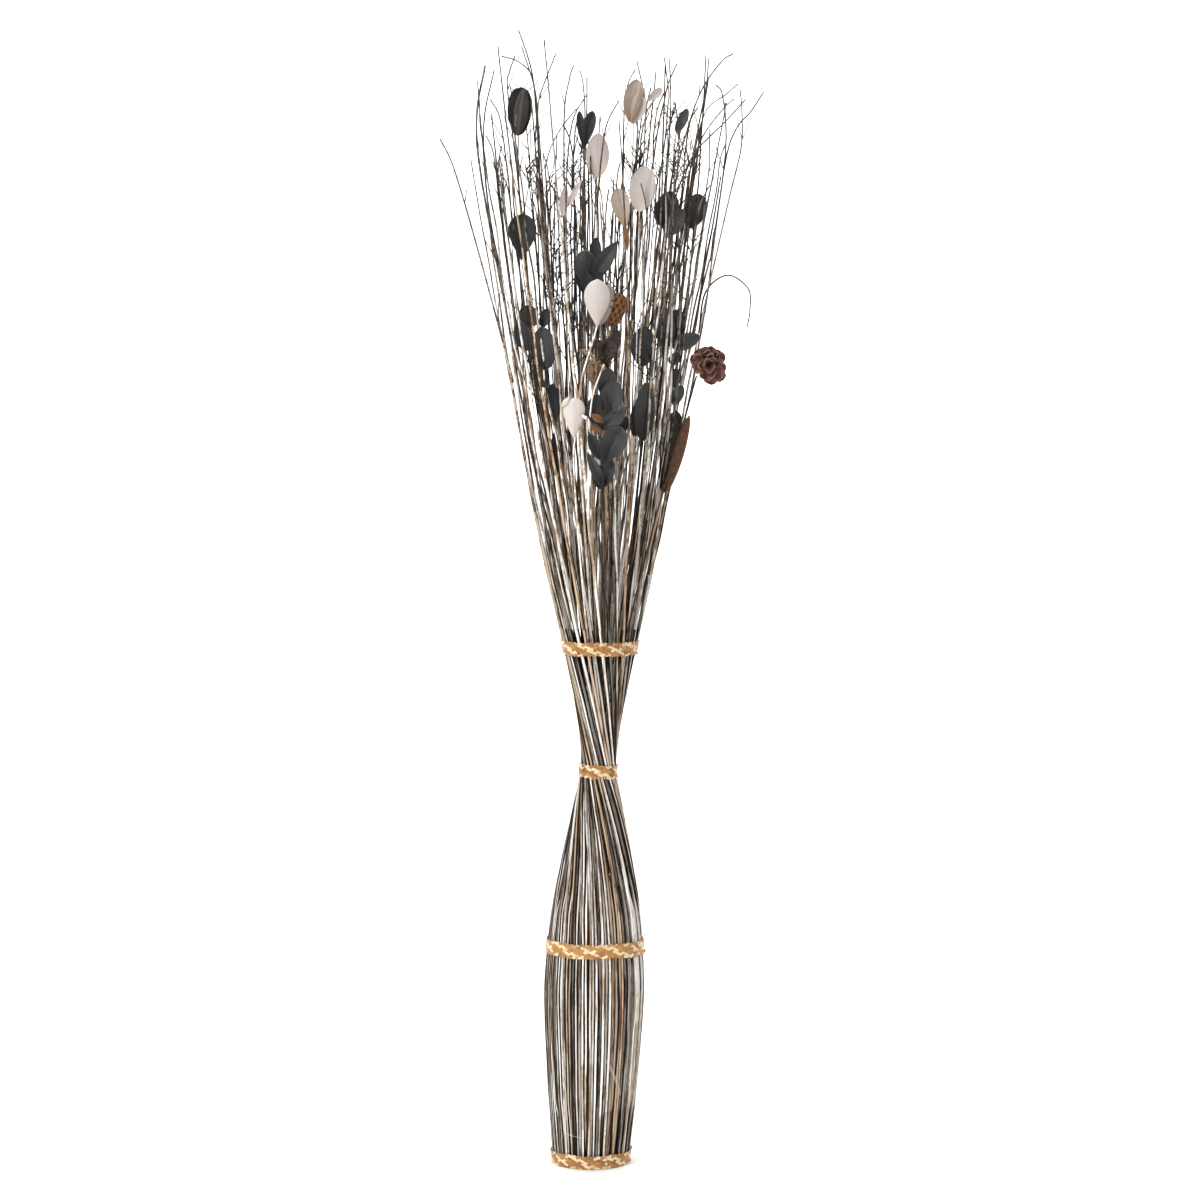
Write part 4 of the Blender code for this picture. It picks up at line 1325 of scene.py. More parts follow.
def pale_leaves() -> list[LeafPiece]:
    """The cream, tan and white leaves."""
    cream, rosy, sandy, orange = "bleached_skin", "rosy_skin", "sandy_skin", "orange_skin"
    white, grey = "whitewashed_reed", "weathered_reed"
    return [
        LeafPiece("shell_leaf_top", "cream_leaf_top", Slot.CREAM, (sandy, grey, rosy), [
            Blade((0.034, -0.02, 1.101), (0.038, -0.02, 1.147), 0.0235, cup=0.005),
            Blade((0.037, -0.024, 1.103), (0.046, -0.024, 1.128), 0.012, cup=0.002, slot=2),
            Blade((0.033, -0.025, 1.102), (0.043, -0.024, 1.139), 0.01, Outline.BLADE, cup=-0.002,
                  tone=0.25),
        ], [
            Stalk([stalk_root(50), (0.03, -0.022, 0.8), (0.034, -0.02, 1.05), (0.035, -0.02, 1.102)]),
        ]),
        LeafPiece("side_leaf_top", "cream_leaf_side", Slot.CREAM, (rosy, grey), [
            Blade((0.048, -0.022, 1.123), (0.065, -0.022, 1.137), 0.0095, Outline.TEARDROP, cup=0.002,
                  tone=0.4),
        ], [
            Stalk([stalk_root(68), (0.04, -0.02, 0.85), (0.046, -0.022, 1.08), (0.048, -0.022, 1.123)],
                   0.0006),
        ]),
        LeafPiece("rosy_leaf_middle", "cream_leaf_pale", Slot.CREAM, (rosy, grey), [
            Blade((-0.003, -0.034, 1.044), (-0.002, -0.034, 1.09), 0.0245, cup=0.003, tone=0.75),
        ], [
            Stalk([stalk_root(-15), (-0.006, -0.034, 0.8), (-0.003, -0.034, 1.045)], 0.0007),
            Stalk([(-0.003, -0.04, 1.046), (-0.008, -0.041, 1.066), (-0.013, -0.041, 1.086)], 0.0004),
            Stalk([(-0.003, -0.04, 1.046), (0.0, -0.041, 1.064), (0.0005, -0.041, 1.078)], 0.0003),
        ]),
        LeafPiece("curled_cream_blades", "cream_leaf_pale", Slot.CREAM, (rosy, grey), [
            Blade((-0.039, -0.03, 1.004), (-0.036, -0.03, 1.036), 0.009, cup=0.002, tone=0.8),
            Blade((-0.037, -0.03, 1.01), (-0.019, -0.032, 1.042), 0.007, Outline.BLADE, cup=0.002,
                  curl=0.003, tone=0.8),
        ], [
            Stalk([(-0.02, -0.024, 0.6), (-0.032, -0.03, 0.82), (-0.039, -0.03, 1.006)], 0.0007),
        ]),
        LeafPiece("large_leaf_right", "cream_leaf_large", Slot.CREAM, (cream, white), [
            Blade((0.041, -0.05, 1.008), (0.047, -0.05, 1.055), 0.0275),
            Blade((0.05, -0.056, 1.012), (0.054, -0.054, 1.052), 0.01, cup=-0.001, fold=0.002, tone=0.3),
        ], [
            Stalk([stalk_root(38.5), (0.034, -0.044, 0.78), (0.041, -0.05, 1.009)], 0.0008),
        ]),
        LeafPiece("teardrop_leaf_middle", "tan_leaf_teardrop", Slot.CREAM, (sandy, grey, orange), [
            Blade((0.027, -0.036, 0.99), (0.018, -0.036, 1.033), 0.0195, Outline.TEARDROP, tone=0.65),
            Blade((0.029, -0.037, 0.968), (0.026, -0.037, 0.996), 0.006, Outline.BLADE, cup=0.001, slot=2,
                  tone=0.8),
        ], [
            Stalk([stalk_root(33.5), (0.027, -0.034, 0.78), (0.029, -0.036, 0.97)], 0.0008),
        ]),
        LeafPiece("white_teardrop_front", "white_leaf_teardrop", Slot.CREAM, (cream, white, rosy), [
            Blade((-0.003, -0.108, 0.888), (-0.003, -0.108, 0.936), 0.0265, Outline.TEARDROP, cup=-0.005,
                  thick=0.0016, tone=0.42),
            Blade((0.0, -0.101, 0.89), (0.01, -0.101, 0.932), 0.016, cup=0.002, slot=2, tone=0.15),
        ], [
            Stalk([stalk_root(-4.6), (-0.016, -0.06, 0.68), (-0.022, -0.092, 0.81),
                   (-0.003, -0.108, 0.889)], 0.0013, tone=0.95),
        ]),
        LeafPiece("white_folded_front", "white_leaf_folded", Slot.CREAM, (cream, white), [
            Blade((-0.027, -0.1, 0.774), (-0.0265, -0.1, 0.815), 0.0225, Outline.SPADE, cup=-0.002,
                  fold=-0.001, thick=0.0012, tone=0.6),
            Blade((-0.0395, -0.102, 0.806), (-0.031, -0.103, 0.8165), 0.0055, Outline.BLADE, cup=-0.001,
                  tone=0.7),
        ], [
            Stalk([stalk_root(-22), (-0.02, -0.058, 0.64), (-0.027, -0.098, 0.745), (-0.0255, -0.1, 0.778)],
                   0.0011, tone=0.95),
            Stalk([(-0.012, -0.075, 0.69), (-0.012, -0.098, 0.765), (-0.014, -0.103, 0.795)], 0.0013,
                   tone=0.95),
            Stalk([(-0.012, -0.098, 0.77), (-0.008, -0.104, 0.815), (0.004, -0.106, 0.85)], 0.001,
                   tone=0.9),
            Stalk([(-0.014, -0.103, 0.795), (-0.02, -0.104, 0.798)], 0.0018, tone=0.95),
        ]),
    ]


def charcoal_sprays() -> list[LeafPiece]:
    """The charcoal leaves that grow in groups."""
    dark, slate, twig, orange = "charcoal_skin", "slate_skin", "wiry_twig", "orange_skin"
    streaked = "streaked_charcoal"
    heart = (-0.017, -0.060, 1.071)
    return [
        LeafPiece("heart_leaves", "charcoal_heart", Slot.CHARCOAL, (dark, twig), [
            Blade(heart, (-0.0215, -0.06, 1.111), 0.0085, Outline.TEARDROP, cup=0.001, fold=0.003,
                  tone=0.3),
            Blade(heart, (-0.0075, -0.061, 1.111), 0.0125, Outline.TEARDROP, cup=0.002, fold=0.004),
        ], [
            Stalk([stalk_root(-45), (-0.022, -0.05, 0.8), (-0.017, -0.058, 1.02), heart]),
        ]),
        # Its blades take low tones, so the whole cluster is painted darker: painted shade where it sits in
        # among the reeds.
        LeafPiece("upper_cluster", "charcoal_cluster_upper", Slot.CHARCOAL, (dark, twig, slate), [
            Blade((-0.014, -0.064, 0.936), (-0.016, -0.064, 0.968), 0.025, cup=-0.005, tone=0.1),
            Blade((-0.008, -0.068, 0.938), (0.017, -0.068, 0.976), 0.018, Outline.POINTED, cup=0.001,
                  fold=0.003, slot=2, tone=0.15),
            Blade((-0.006, -0.06, 0.948), (-0.004, -0.06, 0.981), 0.013, cup=0.002, tone=0.05),
            Blade((-0.011, -0.072, 0.918), (-0.014, -0.072, 0.947), 0.013, Outline.BLADE, cup=0.002,
                  tone=0.1),
            Blade((-0.008, -0.071, 0.916), (0.0, -0.071, 0.946), 0.013, Outline.BLADE, cup=0.002,
                  tone=0.05),
            Blade((-0.012, -0.063, 0.922), (-0.026, -0.063, 0.95), 0.012, Outline.POINTED, cup=0.002,
                  tone=0.1),
            Blade((-0.009, -0.066, 0.912), (0.009, -0.066, 0.934), 0.013, Outline.POINTED, cup=0.002,
                  tone=0.05),
        ], [
            Stalk([stalk_root(-38), (-0.016, -0.032, 0.74), (-0.011, -0.066, 0.92)], 0.0012),
            Stalk([(-0.01, -0.075, 0.916), (-0.017, -0.077, 0.936), (-0.02, -0.076, 0.956)], 0.0005),
            Stalk([(-0.01, -0.075, 0.916), (-0.008, -0.078, 0.938), (-0.002, -0.077, 0.962)], 0.0005),
        ]),
        LeafPiece("left_cluster", "charcoal_cluster_left", Slot.CHARCOAL, (dark, twig, streaked, slate), [
            Blade((-0.056, -0.06, 0.844), (-0.06, -0.06, 0.889), 0.025, fold=0.002, slot=3, tone=0.35),
            Blade((-0.076, -0.052, 0.864), (-0.084, -0.052, 0.894), 0.018, tone=0.6),
            Blade((-0.07, -0.048, 0.888), (-0.078, -0.048, 0.911), 0.02, Outline.TULIP, cup=0.003, slot=2,
                  notches=0.14, tone=0.7),
            Blade((-0.06, -0.05, 0.888), (-0.055, -0.05, 0.908), 0.011, cup=0.002, tone=0.2),
            Blade((-0.058, -0.056, 0.826), (-0.064, -0.056, 0.851), 0.017, cup=0.003, slot=2, tone=0.3),
            Blade((-0.048, -0.036, 0.79), (-0.05, -0.036, 0.83), 0.016, cup=0.003, tone=0.4),
            Blade((-0.043, -0.024, 0.735), (-0.048, -0.026, 0.78), 0.015, Outline.BLADE, cup=0.003, slot=2,
                  tone=0.3),
        ], [
            Stalk([stalk_root(-72), (-0.044, -0.04, 0.7), (-0.054, -0.056, 0.8), (-0.057, -0.058, 0.848)],
                   0.0011),
            Stalk([(-0.05, -0.05, 0.76), (-0.066, -0.05, 0.83), (-0.072, -0.048, 0.89)]),
        ]),
        LeafPiece("right_cluster", "charcoal_cluster_right", Slot.CHARCOAL, (slate, twig, dark), [
            Blade((0.071, -0.03, 0.868), (0.062, -0.03, 0.913), 0.023, tone=0.55),
            Blade((0.075, -0.032, 0.868), (0.104, -0.026, 0.88), 0.017, tone=0.45),
            Blade((0.044, -0.045, 0.848), (0.046, -0.045, 0.89), 0.026),
            Blade((0.076, -0.02, 0.87), (0.082, -0.02, 0.908), 0.022, cup=0.003, slot=2),
            Blade((0.072, -0.035, 0.852), (0.084, -0.035, 0.86), 0.012, cup=0.003, slot=2, tone=0.1),
            Blade((0.044, -0.052, 0.77), (0.049, -0.052, 0.832), 0.021, cup=0.003, tone=0.35),
            Blade((0.036, -0.05, 0.775), (0.041, -0.05, 0.812), 0.015, cup=0.003, slot=2, tone=0.6),
        ], [
            Stalk([stalk_root(74), (0.052, -0.026, 0.72), (0.071, -0.03, 0.868)], 0.0011),
            Stalk([(0.03, -0.03, 0.64), (0.042, -0.046, 0.76), (0.044, -0.046, 0.848)]),
        ]),
        LeafPiece("front_spray_low", "charcoal_spray_front", Slot.CHARCOAL, (dark, twig, slate), [
            Blade((0.003, -0.109, 0.747), (0.0215, -0.111, 0.786), 0.0265, Outline.TEARDROP, cup=0.002,
                  fold=0.009, slot=2, tone=0.35),
            Blade((0.003, -0.107, 0.725), (-0.013, -0.107, 0.76), 0.011, Outline.POINTED, cup=0.001,
                  fold=0.005, slot=2),
            Blade((0.002, -0.105, 0.75), (-0.012, -0.105, 0.781), 0.0125, Outline.BLADE, cup=0.002,
                  fold=0.004, tone=0.4),
            Blade((0.003, -0.106, 0.724), (0.012, -0.106, 0.752), 0.014, cup=0.002, fold=0.003, slot=2,
                  tone=0.2),
            Blade((0.001, -0.104, 0.722), (-0.004, -0.104, 0.748), 0.014, cup=0.002, tone=0.6),
        ], [
            Stalk([stalk_root(14), (0.005, -0.072, 0.64), (0.003, -0.107, 0.725), (0.003, -0.108, 0.752)],
                   0.0013),
        ]),
        LeafPiece("front_spray_left", "charcoal_spray_upper_left", Slot.CHARCOAL, (dark, twig, orange), [
            Blade((0.001, -0.104, 0.785), (-0.004, -0.104, 0.819), 0.025, cup=0.006),
            Blade((0.004, -0.108, 0.79), (-0.009, -0.108, 0.799), 0.008, Outline.BLADE, cup=-0.002,
                  curl=0.003, slot=2, tone=0.3),
            Blade((0.0, -0.103, 0.779), (-0.009, -0.103, 0.79), 0.007, Outline.BLADE, cup=0.001, slot=2,
                  tone=0.6),
        ], [
            Stalk([stalk_root(5), (0.002, -0.068, 0.66), (0.001, -0.104, 0.787)], 0.001),
        ]),
        LeafPiece("front_spray_right", "charcoal_spray_upper_right", Slot.CHARCOAL, (dark, twig, slate), [
            Blade((0.001, -0.108, 0.783), (0.028, -0.108, 0.806), 0.017, Outline.POINTED, cup=0.003,
                  wave=0.003, twist=0.8, slot=2, tone=0.3),
            Blade((0.006, -0.104, 0.799), (0.0165, -0.104, 0.833), 0.0235, slot=2, tone=0.2),
            Blade((0.006, -0.1, 0.815), (0.009, -0.1, 0.846), 0.02, cup=0.003, tone=0.6),
            Blade((0.012, -0.1, 0.776), (0.028, -0.1, 0.796), 0.016, cup=0.003, tone=0.3),
        ], [
            Stalk([stalk_root(28.3), (0.01, -0.07, 0.66), (0.006, -0.103, 0.79), (0.006, -0.101, 0.82)],
                   0.001),
        ]),
    ]


# ---- pods and the flower --------------------------------------------------------------------------
def add_stem(maker: MeshMaker, route: Sequence[Point], radius: float, tone: float, seed: float,
             slot: int) -> None:
    """Adds a stem of even thickness that runs through a few points."""
    line = smooth_path([Vector(p) for p in route], 9)
    maker.tube(line, [radius] * len(line), 6, tone, seed, slot=slot)


def round_body(maker: MeshMaker, base: Point, tip: Point, stations: Sequence[tuple[float, float]], ribs: int,
               rib_depth: float, rough: float, seed: float, tone: float, cells: float = 0.0) -> None:
    """Adds a round body, ribbed or roughened.

    Args:
        maker: The mesh it goes in.
        base: Its lower end.
        tip: Its upper end.
        stations: Share of the length and radius, from base to tip.
        ribs: Ribs round the body.
        rib_depth: Depth of the ribs, as a share of the radius.
        rough: Height of the rough skin's lumps, in metres.
        seed: Sets its lumps and grain.
        tone: Its light-to-dark value.
        cells: Depth of the pits of a honeycombed skin, in metres; the pits are also drawn darker, as painted
            shade.
    """
    base = Vector(base)
    axis = Vector(tip) - base
    side = FRONT.cross(axis).normalized()
    facing = axis.cross(side).normalized()
    rows, count = 48, 72
    shares = np.array([s for s, _ in stations])
    sizes = np.array([r for _, r in stations])
    verts, grain, tones = [], [], []
    for i in range(rows + 1):
        t = shares[0] + (shares[-1] - shares[0]) * i / rows
        radius = float(np.interp(t, shares, sizes))
        for j in range(count):
            a = 2 * math.pi * j / count
            out = side * math.cos(a) + facing * math.sin(a)
            centre = base + axis * t
            skin = centre + out * radius
            lump = noise.cell_vector(skin * 260.0).x + noise.noise(skin * 420.0)
            pit = max(0.0, math.cos(9 * a + math.pi * (int(8 * t) % 2)))
            pit *= abs(math.sin(8 * math.pi * t)) ** 0.7
            reach = radius * (1 + rib_depth * math.cos(ribs * a)) + rough * lump - cells * pit
            verts.append(tuple(centre + out * max(reach, 0.0002)))
            grain.append((radius * math.cos(a) + seed, radius * math.sin(a), axis.length * t))
            # Points deep in the pits are drawn darker: painted shade in the pits.
            tones.append(tone * (1.0 - (0.85 * pit if cells else 0.0)))
    faces = ring_faces(rows + 1, count)
    maker.add(np.array(verts), faces, np.array(grain), np.array(tones), np.zeros(len(verts)))


@dataclass
class Pods:
    """The brown pods, the pleated flower and the strips of husk."""

    finishes: Finishes

    def done(self, maker: MeshMaker, name: str, node: str, *finishes: str) -> None:
        """Makes and dresses one piece."""
        place_piece(maker.finish(name, [self.finishes[f] for f in finishes]), Slot.POD, node)

    def build_pod_pair(self) -> None:
        """A honeycombed rusty pod above a torn leathery bowl."""
        maker = MeshMaker()
        base, neck = (0.004, -0.086, 0.850), (0.010, -0.089, 0.885)
        add_stem(maker, [stalk_root(9.6), (0.006, -0.06, 0.70), base, neck], 0.0010, 0.4, 2.0, 2)
        shape = [(0.10, 0.003), (0.22, 0.0075), (0.5, 0.0105), (0.8, 0.0100), (0.95, 0.0070), (1.0, 0.002)]
        round_body(maker, neck, (0.020, -0.093, 0.923), shape, 7, 0.03, 0.0003, 4.0, 0.6, 0.0026)
        for k, (turn, tall) in enumerate(((-60, 0.026), (15, 0.027), (75, 0.036), (170, 0.030))):
            spin = math.radians(turn)
            side = Vector((math.sin(spin), -math.cos(spin), 0.0))
            low = Vector(base) + side * 0.002
            high = Vector(base) + side * 0.0125 + UP * tall * 0.95 + Vector((0.003, 0, 0))
            Blade(tuple(low), tuple(high), 0.019, Outline.TULIP, thick=0.0012, tone=0.3 + 0.08 * k, slot=1,
                  notches=0.06, turn=turn * 0.6, wave=0.001).add_to(maker, 5.0 + k)
        self.done(maker, "rusty_pod_and_bowl", "brown_pod_pair", "rusty_pod", "leathery_pod", "tan_reed_skin")

    def build_ribbed_pod(self) -> None:
        """A small ribbed pod with curled fibres and a pale scale at its side."""
        maker = MeshMaker()
        base = (-0.007, -0.080, 0.829)
        add_stem(maker, [stalk_root(-9.6), (-0.008, -0.055, 0.70), base], 0.0009, 0.4, 3.0, 1)
        shape = [(0.0, 0.001), (0.2, 0.0045), (0.5, 0.0068), (0.85, 0.0055), (1.0, 0.0015)]
        round_body(maker, base, (-0.006, -0.080, 0.855), shape, 9, 0.16, 0.0002, 2.0, 0.5)
        Blade((0.006, -0.084, 0.842), (0.009, -0.084, 0.860), 0.009, cup=0.003, tone=0.7,
              slot=2).add_to(maker, 3.0)
        for k in range(9):
            lean = 0.010 * math.sin(k * 2.1)
            start = Vector((-0.006 + 0.001 * k, -0.083, 0.848))
            steps = (lean, -0.006, 0.010), (1.6 * lean, -0.005, 0.017), (1.9 * lean, 0.003, 0.013)
            line = smooth_path([start, *(start + Vector(step) for step in steps)], 5)
            maker.tube(line, [0.0004] * len(line), 5, 0.5, 4.0 + k, slot=1)
        self.done(maker, "ribbed_pod_and_fibres", "ribbed_pod", "ribbed_brown", "tan_reed_skin", "sandy_skin")

    def build_flower(self) -> None:
        """A pleated flower of nested frilled cups on a thin stem."""
        maker = MeshMaker()
        base = (0.099, -0.098, 0.838)
        route = [stalk_root(43.8), (0.055, -0.060, 0.68), (0.086, -0.090, 0.79), base]
        add_stem(maker, route, 0.0009, 0.3, 6.0, 1)
        axis = Vector((0.62, -0.68, 0.40)).normalized()
        side = FRONT.cross(axis).normalized()
        facing = axis.cross(side).normalized()
        middle = Vector(base).lerp(Vector((0.124, -0.101, 0.862)), 0.50)
        count = 0
        for petals, opening, length, width in ((10, 94, 0.0210, 0.0155), (9, 70, 0.0190, 0.0145),
                                               (8, 48, 0.0175, 0.0125), (6, 27, 0.0145, 0.0100)):
            for number in range(petals):
                count += 1
                turn = 2 * math.pi * number / petals + 0.37 * opening + 0.2 * math.sin(3.1 * count)
                spread = math.radians(opening + 6 * math.sin(5.3 * count))
                away = side * math.cos(turn) + facing * math.sin(turn)
                along = axis * math.cos(spread) + away * math.sin(spread)
                along = along * length * (1 + 0.10 * math.sin(count * 1.9))
                # Petals vary in tone in turn; the inner layers are also drawn darker, as painted shade deep
                # in the cup.
                tone = 0.80 - 0.05 * (count % 4) - (88 - opening) / 400
                Blade(tuple(middle + away * 0.001), tuple(middle + along), width, Outline.SHIELD, cup=0.0022,
                      wave=0.0030, fold=0.0016, curl=-0.004, twist=0.5 * math.sin(count), tone=tone,
                      notches=0.12).add_to(maker, count * 0.7)
        self.done(maker, "pleated_flower_head", "pleated_flower", "petal_skin", "wiry_twig")

    def build_long_pod(self) -> None:
        """Half a long pod: a dark hollow on its left, a rough rusty back on its right."""
        maker = MeshMaker()
        base = (0.066, -0.038, 0.716)
        Blade(base, (0.080, -0.036, 0.802), 0.020, Outline.TULIP, cup=0.006, thick=0.0014, slot=1,
              tone=0.3, curl=0.002).add_to(maker, 1.0)
        Blade((0.070, -0.037, 0.718), (0.0930, -0.037, 0.796), 0.0125, cup=-0.003, thick=0.0022,
              tone=0.34, wave=0.0008).add_to(maker, 2.0)
        add_stem(maker, [stalk_root(56), (0.046, -0.026, 0.63), base], 0.0011, 0.3, 2.0, 2)
        self.done(maker, "long_split_pod", "long_pod", "rusty_pod", "leathery_pod", "tan_reed_skin")

    def build_strips(self) -> None:
        """Narrow orange-brown strips of husk among the left reeds."""
        maker = MeshMaker()
        for number, (base, tip, width, cup, tone) in enumerate((
                ((-0.054, -0.022, 0.736), (-0.063, -0.024, 0.794), 0.009, 0.002, 0.6),
                ((-0.048, -0.030, 0.728), (-0.054, -0.032, 0.774), 0.006, 0.002, 0.8),
                ((-0.036, -0.036, 0.712), (-0.040, -0.038, 0.748), 0.005, 0.001, 0.5))):
            Blade(base, tip, width, Outline.BLADE, cup=cup, tone=tone).add_to(maker, 1.0 + number)
        route = [stalk_root(-80), (-0.044, -0.014, 0.64), (-0.054, -0.022, 0.738)]
        add_stem(maker, route, 0.0009, 0.4, 7.0, 1)
        self.done(maker, "husk_strips_left", "brown_strip_left", "orange_skin", "tan_reed_skin")

    def build(self) -> None:
        """Builds and dresses every pod."""
        self.build_pod_pair()
        self.build_ribbed_pod()
        self.build_flower()
        self.build_long_pod()
        self.build_strips()


# ---- wiry sprigs and loose ends -------------------------------------------------------------------
@dataclass
class WirySprigs:
    """Thin black sprigs with forked, beaded ends, a broken twig, and stray fibres."""

    stems: tuple[tuple[Point, float], ...] = (
        ((0.078, 0.005, 1.120), 0.055), ((0.044, -0.010, 1.075), 0.050), ((0.036, -0.015, 1.060), 0.045),
        ((-0.040, -0.060, 0.935), 0.070), ((-0.032, -0.075, 0.915), 0.060), ((-0.078, -0.045, 0.905), 0.060),
        ((-0.075, -0.060, 0.860), 0.045), ((0.008, -0.085, 0.860), 0.040), ((0.054, -0.080, 0.868), 0.060),
        ((-0.085, 0.000, 1.140), 0.050), ((0.020, -0.060, 0.950), 0.045), ((0.084, 0.020, 1.090), 0.050))
    # Stray fibres: angle from the front, heights of their ends, and how far round they run.
    fibres: tuple[tuple[float, float, float, float], ...] = (
        (14, 0.078, 0.121, 0.42), (18, 0.080, 0.118, 0.36), (-40, 0.034, 0.038, 0.5),
        (150, 0.10, 0.15, 0.3), (-110, 0.05, 0.09, 0.3), (60, 0.60, 0.63, 0.15))
    forks: int = 11
    spare: int = 15
    spare_from: float = 60.0
    spare_over: float = 240.0

    def add_sprig(self, maker: MeshMaker, top: Vector, size: float, rng: np.random.Generator) -> None:
        """Adds one sprig: a stem from the collar, forks near its top and beads along the forks.

        Args:
            maker: The mesh it goes in.
            top: Where its stem ends.
            size: Height of its forked part.
            rng: The sprigs' own random numbers.
        """
        flat = Vector((top.x, top.y, 0.0))
        root = FORM.around(math.atan2(top.x, -top.y), 0.024, 0.535)
        low = top - UP * size - flat * 0.10
        stem = smooth_path([root, root.lerp(low, 0.5) + flat * 0.04, low, top], 12)
        count = len(stem)
        maker.tube(stem, [0.0009 - 0.0003 * k / count for k in range(count)], 6, 0.3, rng.random() * 9,
                   (0.0, 1.0))
        for fork in range(self.forks):
            start = stem[int(count * (0.64 + 0.03 * fork))]
            spin = rng.random() * ROUGH_TURN
            away = Vector((math.sin(spin), 0.6 * math.cos(spin), 0.0))
            length = size * (0.22 + 0.3 * rng.random())
            curl = 0.5 * (rng.random() - 0.5)
            route = [start, start + away * 0.3 * length + UP * 0.35 * length,
                     start + away * 0.62 * length + UP * 0.62 * length,
                     start + away * (0.7 + curl) * length + UP * 0.95 * length]
            line = smooth_path(route, 6)
            last = len(line) - 1
            widths = [(0.00052 - 0.00016 * k / last) * (1.0 + 0.9 * max(0.0, math.sin(k * 2.1)) ** 3)
                      for k in range(last + 1)]
            maker.tube(line, widths, 5, 0.35, rng.random() * 9, (0.6, 1.0))

    def build(self, finishes: Finishes) -> None:
        """Builds the sprigs, the broken twig and the stray fibres as three pieces."""
        rng = np.random.default_rng(5)
        maker = MeshMaker()
        for top, size in self.stems:
            self.add_sprig(maker, Vector(top), size, rng)
        for number in range(self.spare):
            angle = math.radians(self.spare_from + self.spare_over * (number + rng.random()) / self.spare)
            height = 0.93 + 0.17 * rng.random()
            reach = (0.04 + 0.07 * rng.random()) * (height - 0.40) / 0.6
            self.add_sprig(maker, FORM.around(angle, reach, height), 0.05 + 0.03 * rng.random(), rng)
        place_piece(maker.finish("wiry_sprigs", [finishes["wiry_twig"]]), Slot.DARK)

        maker = MeshMaker()
        route = [(0.104, -0.004, 0.884), (0.111, -0.003, 0.926), (0.134, 0.000, 0.944), (0.156, 0.000, 0.930),
                 (0.158, 0.000, 0.908), (0.155, 0.000, 0.889)]
        line = smooth_path([Vector(p) for p in route], 8)
        radii = [0.00105 - 0.0003 * k / len(line) for k in range(len(line))]
        maker.tube(line, radii, 6, 0.3, 1.0, (0.6, 1.0))
        place_piece(maker.finish("broken_twig", [finishes["wiry_twig"]]), Slot.DARK)

        maker = MeshMaker()
        for angle, low, high, spread in self.fibres:
            route = []
            for k in range(7):
                share = k / 6
                z = high + (low - high) * share
                reach = FORM.ring_radius(z) + FORM.reed_radius + 0.0006 + 0.0012 * math.sin(math.pi * share)
                route.append(FORM.around(math.radians(angle) + spread * share, reach, z))
            line = smooth_path(route, 4)
            maker.tube(line, [0.00016] * len(line), 4, 1.0, float(angle))
        place_piece(maker.finish("stray_fibres", [finishes["whitewashed_reed"]]), Slot.WHITE)


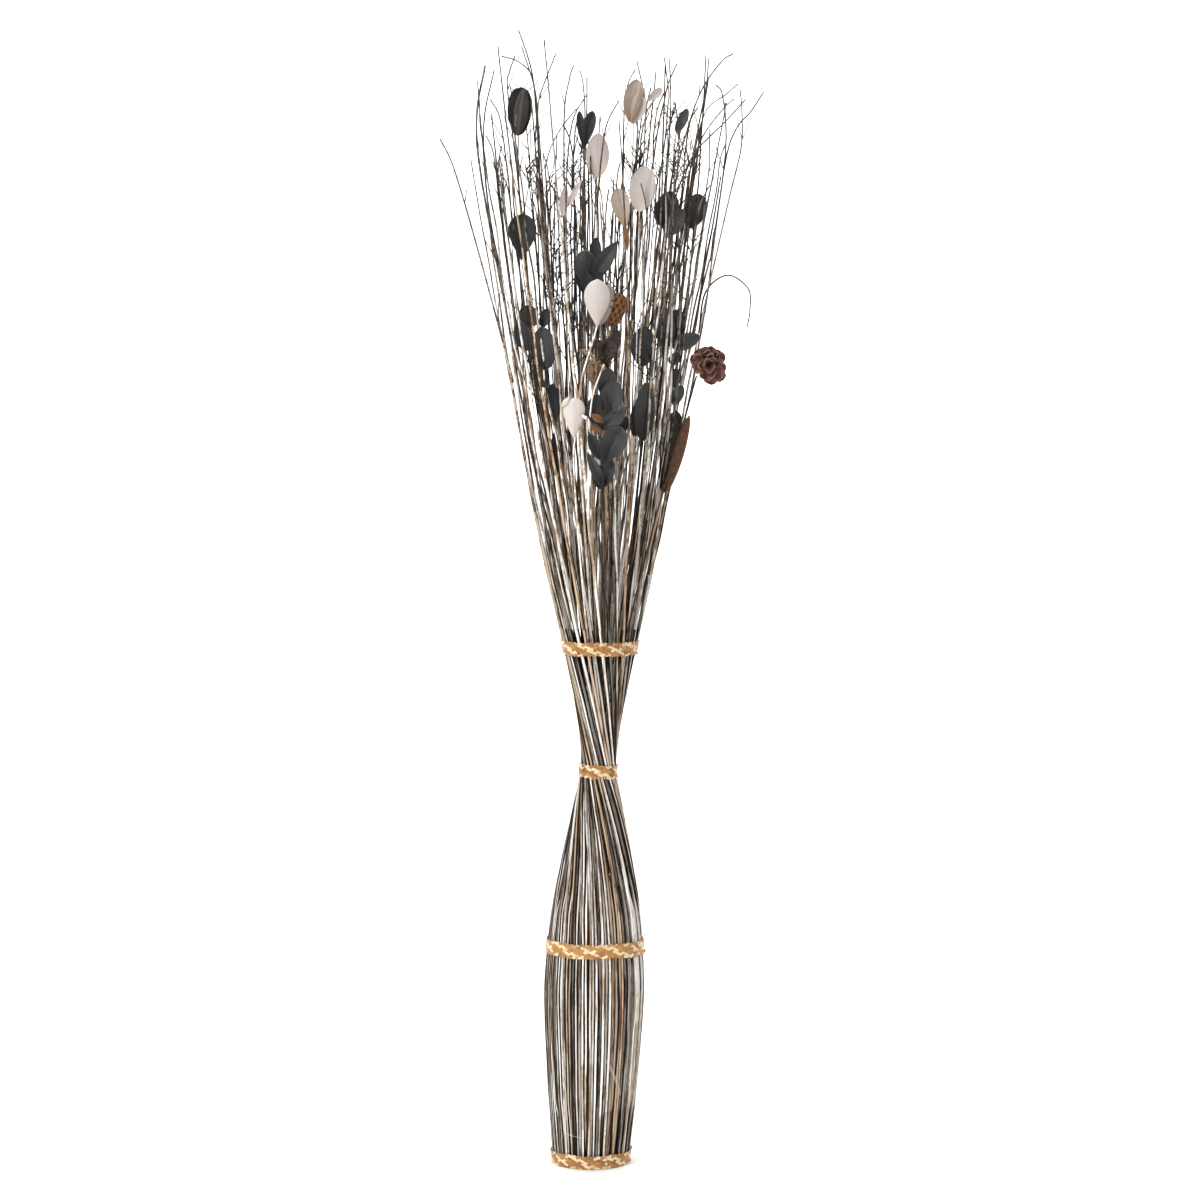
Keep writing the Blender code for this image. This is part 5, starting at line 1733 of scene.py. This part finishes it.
# ---- floor, light and camera ----------------------------------------------------------------------
@dataclass(frozen=True)
class Studio:
    """A pale seamless floor, soft light and the camera."""

    eye: Point = (0.0, -3.6, 0.83)
    tilt_down: float = math.radians(3.634)
    lens: float = 102.17
    floor: Colour = (0.90, 0.90, 0.90)
    sweep: float = 1.2

    def build_floor(self) -> None:
        """A floor that sweeps up behind the bunch."""
        maker = MeshMaker()
        profile = [(-6.0, 0.0), (1.6, 0.0)]
        profile += [(1.6 + self.sweep * math.sin(a), self.sweep - self.sweep * math.cos(a))
                    for a in np.linspace(0.1, math.pi / 2, 14)]
        profile += [(2.8, 5.0)]
        verts = [(x, y, z - 0.0002) for y, z in profile for x in (-6.0, 6.0)]
        faces = [[2 * i, 2 * i + 1, 2 * i + 3, 2 * i + 2] for i in range(len(profile) - 1)]
        points = np.array(verts)
        maker.add(points, faces, points * 0.1, 0.5, np.zeros(len(points)))
        skin = Skin("pale_floor")
        cloud = skin.node("ShaderNodeTexNoise", {"Scale": 3.0, "Detail": 2.0}).outputs[0]
        colour = skin.mix(cloud, self.floor, tuple(0.98 * c for c in self.floor))
        skin.feed(skin.shader, {"Base Color": colour, "Roughness": 0.9})
        maker.finish("seamless_floor", [skin.material])

    def add_area(self, name: str, place: Point, target: Point, size: float, power: float) -> None:
        """Adds one soft lamp.

        Args:
            name: Its name.
            place: Where it stands.
            target: What it is turned to.
            size: Its diameter.
            power: Its power in watts.
        """
        data = bpy.data.lights.new(name, "AREA")
        data.shape = "DISK"
        data.size = size
        data.energy = power
        lamp = bpy.data.objects.new(name, data)
        lamp.location = place
        lamp.rotation_euler = (Vector(target) - Vector(place)).to_track_quat("-Z", "Y").to_euler()
        bpy.context.scene.collection.objects.link(lamp)

    def build_room(self) -> None:
        """A room that is bright in front and above, and dimmer at the sides, so that round stems show."""
        world = bpy.data.worlds.new("soft_room")
        bpy.context.scene.world = world
        world.use_nodes = True
        tree = Tree(world.node_tree)
        parts = tree.node("ShaderNodeSeparateXYZ", {0: tree.node("ShaderNodeTexCoord").outputs["Generated"]})
        ahead = tree.math("MULTIPLY_ADD", parts.outputs[1], -0.9,
                          tree.math("MULTIPLY", parts.outputs[0], -0.35))
        front = tree.span(ahead, 0.40, 0.95, (0.0, 0.72))
        above = tree.span(parts.outputs[2], 0.25, 1.0, (0.28, 0.85))
        tree.feed(world.node_tree.nodes["Background"], {"Color": (1.0, 1.0, 1.0, 1.0),
                                                        "Strength": tree.math("ADD", front, above)})

    def build(self) -> None:
        """Builds the floor, the lights, the world and the camera."""
        self.build_floor()
        self.build_room()
        self.add_area("key", (-1.9, -2.3, 2.3), (0.0, 0.0, 0.7), 0.8, 52.0)
        self.add_area("overhead", (0.0, 0.2, 3.4), (0.0, 0.0, 0.0), 1.8, 46.0)
        for side, sign in (("left", -1.0), ("right", 1.0)):
            self.add_area(f"rim_{side}", (1.7 * sign, 1.3, 1.5), (0.0, 0.0, 0.8), 0.8, 14.0)
            self.add_area(f"backdrop_{side}", (1.5 * sign, 1.2, 1.6), (0.7 * sign, 2.8, 0.9), 1.2, 34.0)
        data = bpy.data.cameras.new("camera")
        data.lens = self.lens
        data.sensor_width = 36.0
        camera = bpy.data.objects.new("camera", data)
        camera.location = self.eye
        camera.rotation_euler = (math.pi / 2 - self.tilt_down, 0.0, 0.0)
        bpy.context.scene.collection.objects.link(camera)
        bpy.context.scene.camera = camera
        bpy.context.scene.view_settings.view_transform = "Standard"


def main() -> None:
    """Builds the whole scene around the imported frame."""
    logging.basicConfig(level=logging.INFO, format="%(name)s: %(message)s")
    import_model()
    Studio().build()
    finishes = make_finishes()
    OuterRing().build(finishes)
    InnerReeds().build(finishes)
    for band in (PlaitedBand("foot_band", math.radians(-2), 11, 0.0, 0.0135),
                 PlaitedBand("belly_band", math.radians(38), 12, 0.227, 0.2405),
                 PlaitedBand("waist_band", math.radians(-100), 13, 0.4138, 0.4262, tilt=-0.0008),
                 PlaitedBand("collar_band", math.radians(-62), 14, 0.545, 0.558)):
        band.build(finishes)
    for number, piece in enumerate(charcoal_leaves() + pale_leaves() + charcoal_sprays()):
        piece.build(finishes, 1.0 + 0.83 * number)
    Pods(finishes).build()
    WirySprigs().build(finishes)


if __name__ == "__main__":
    main()
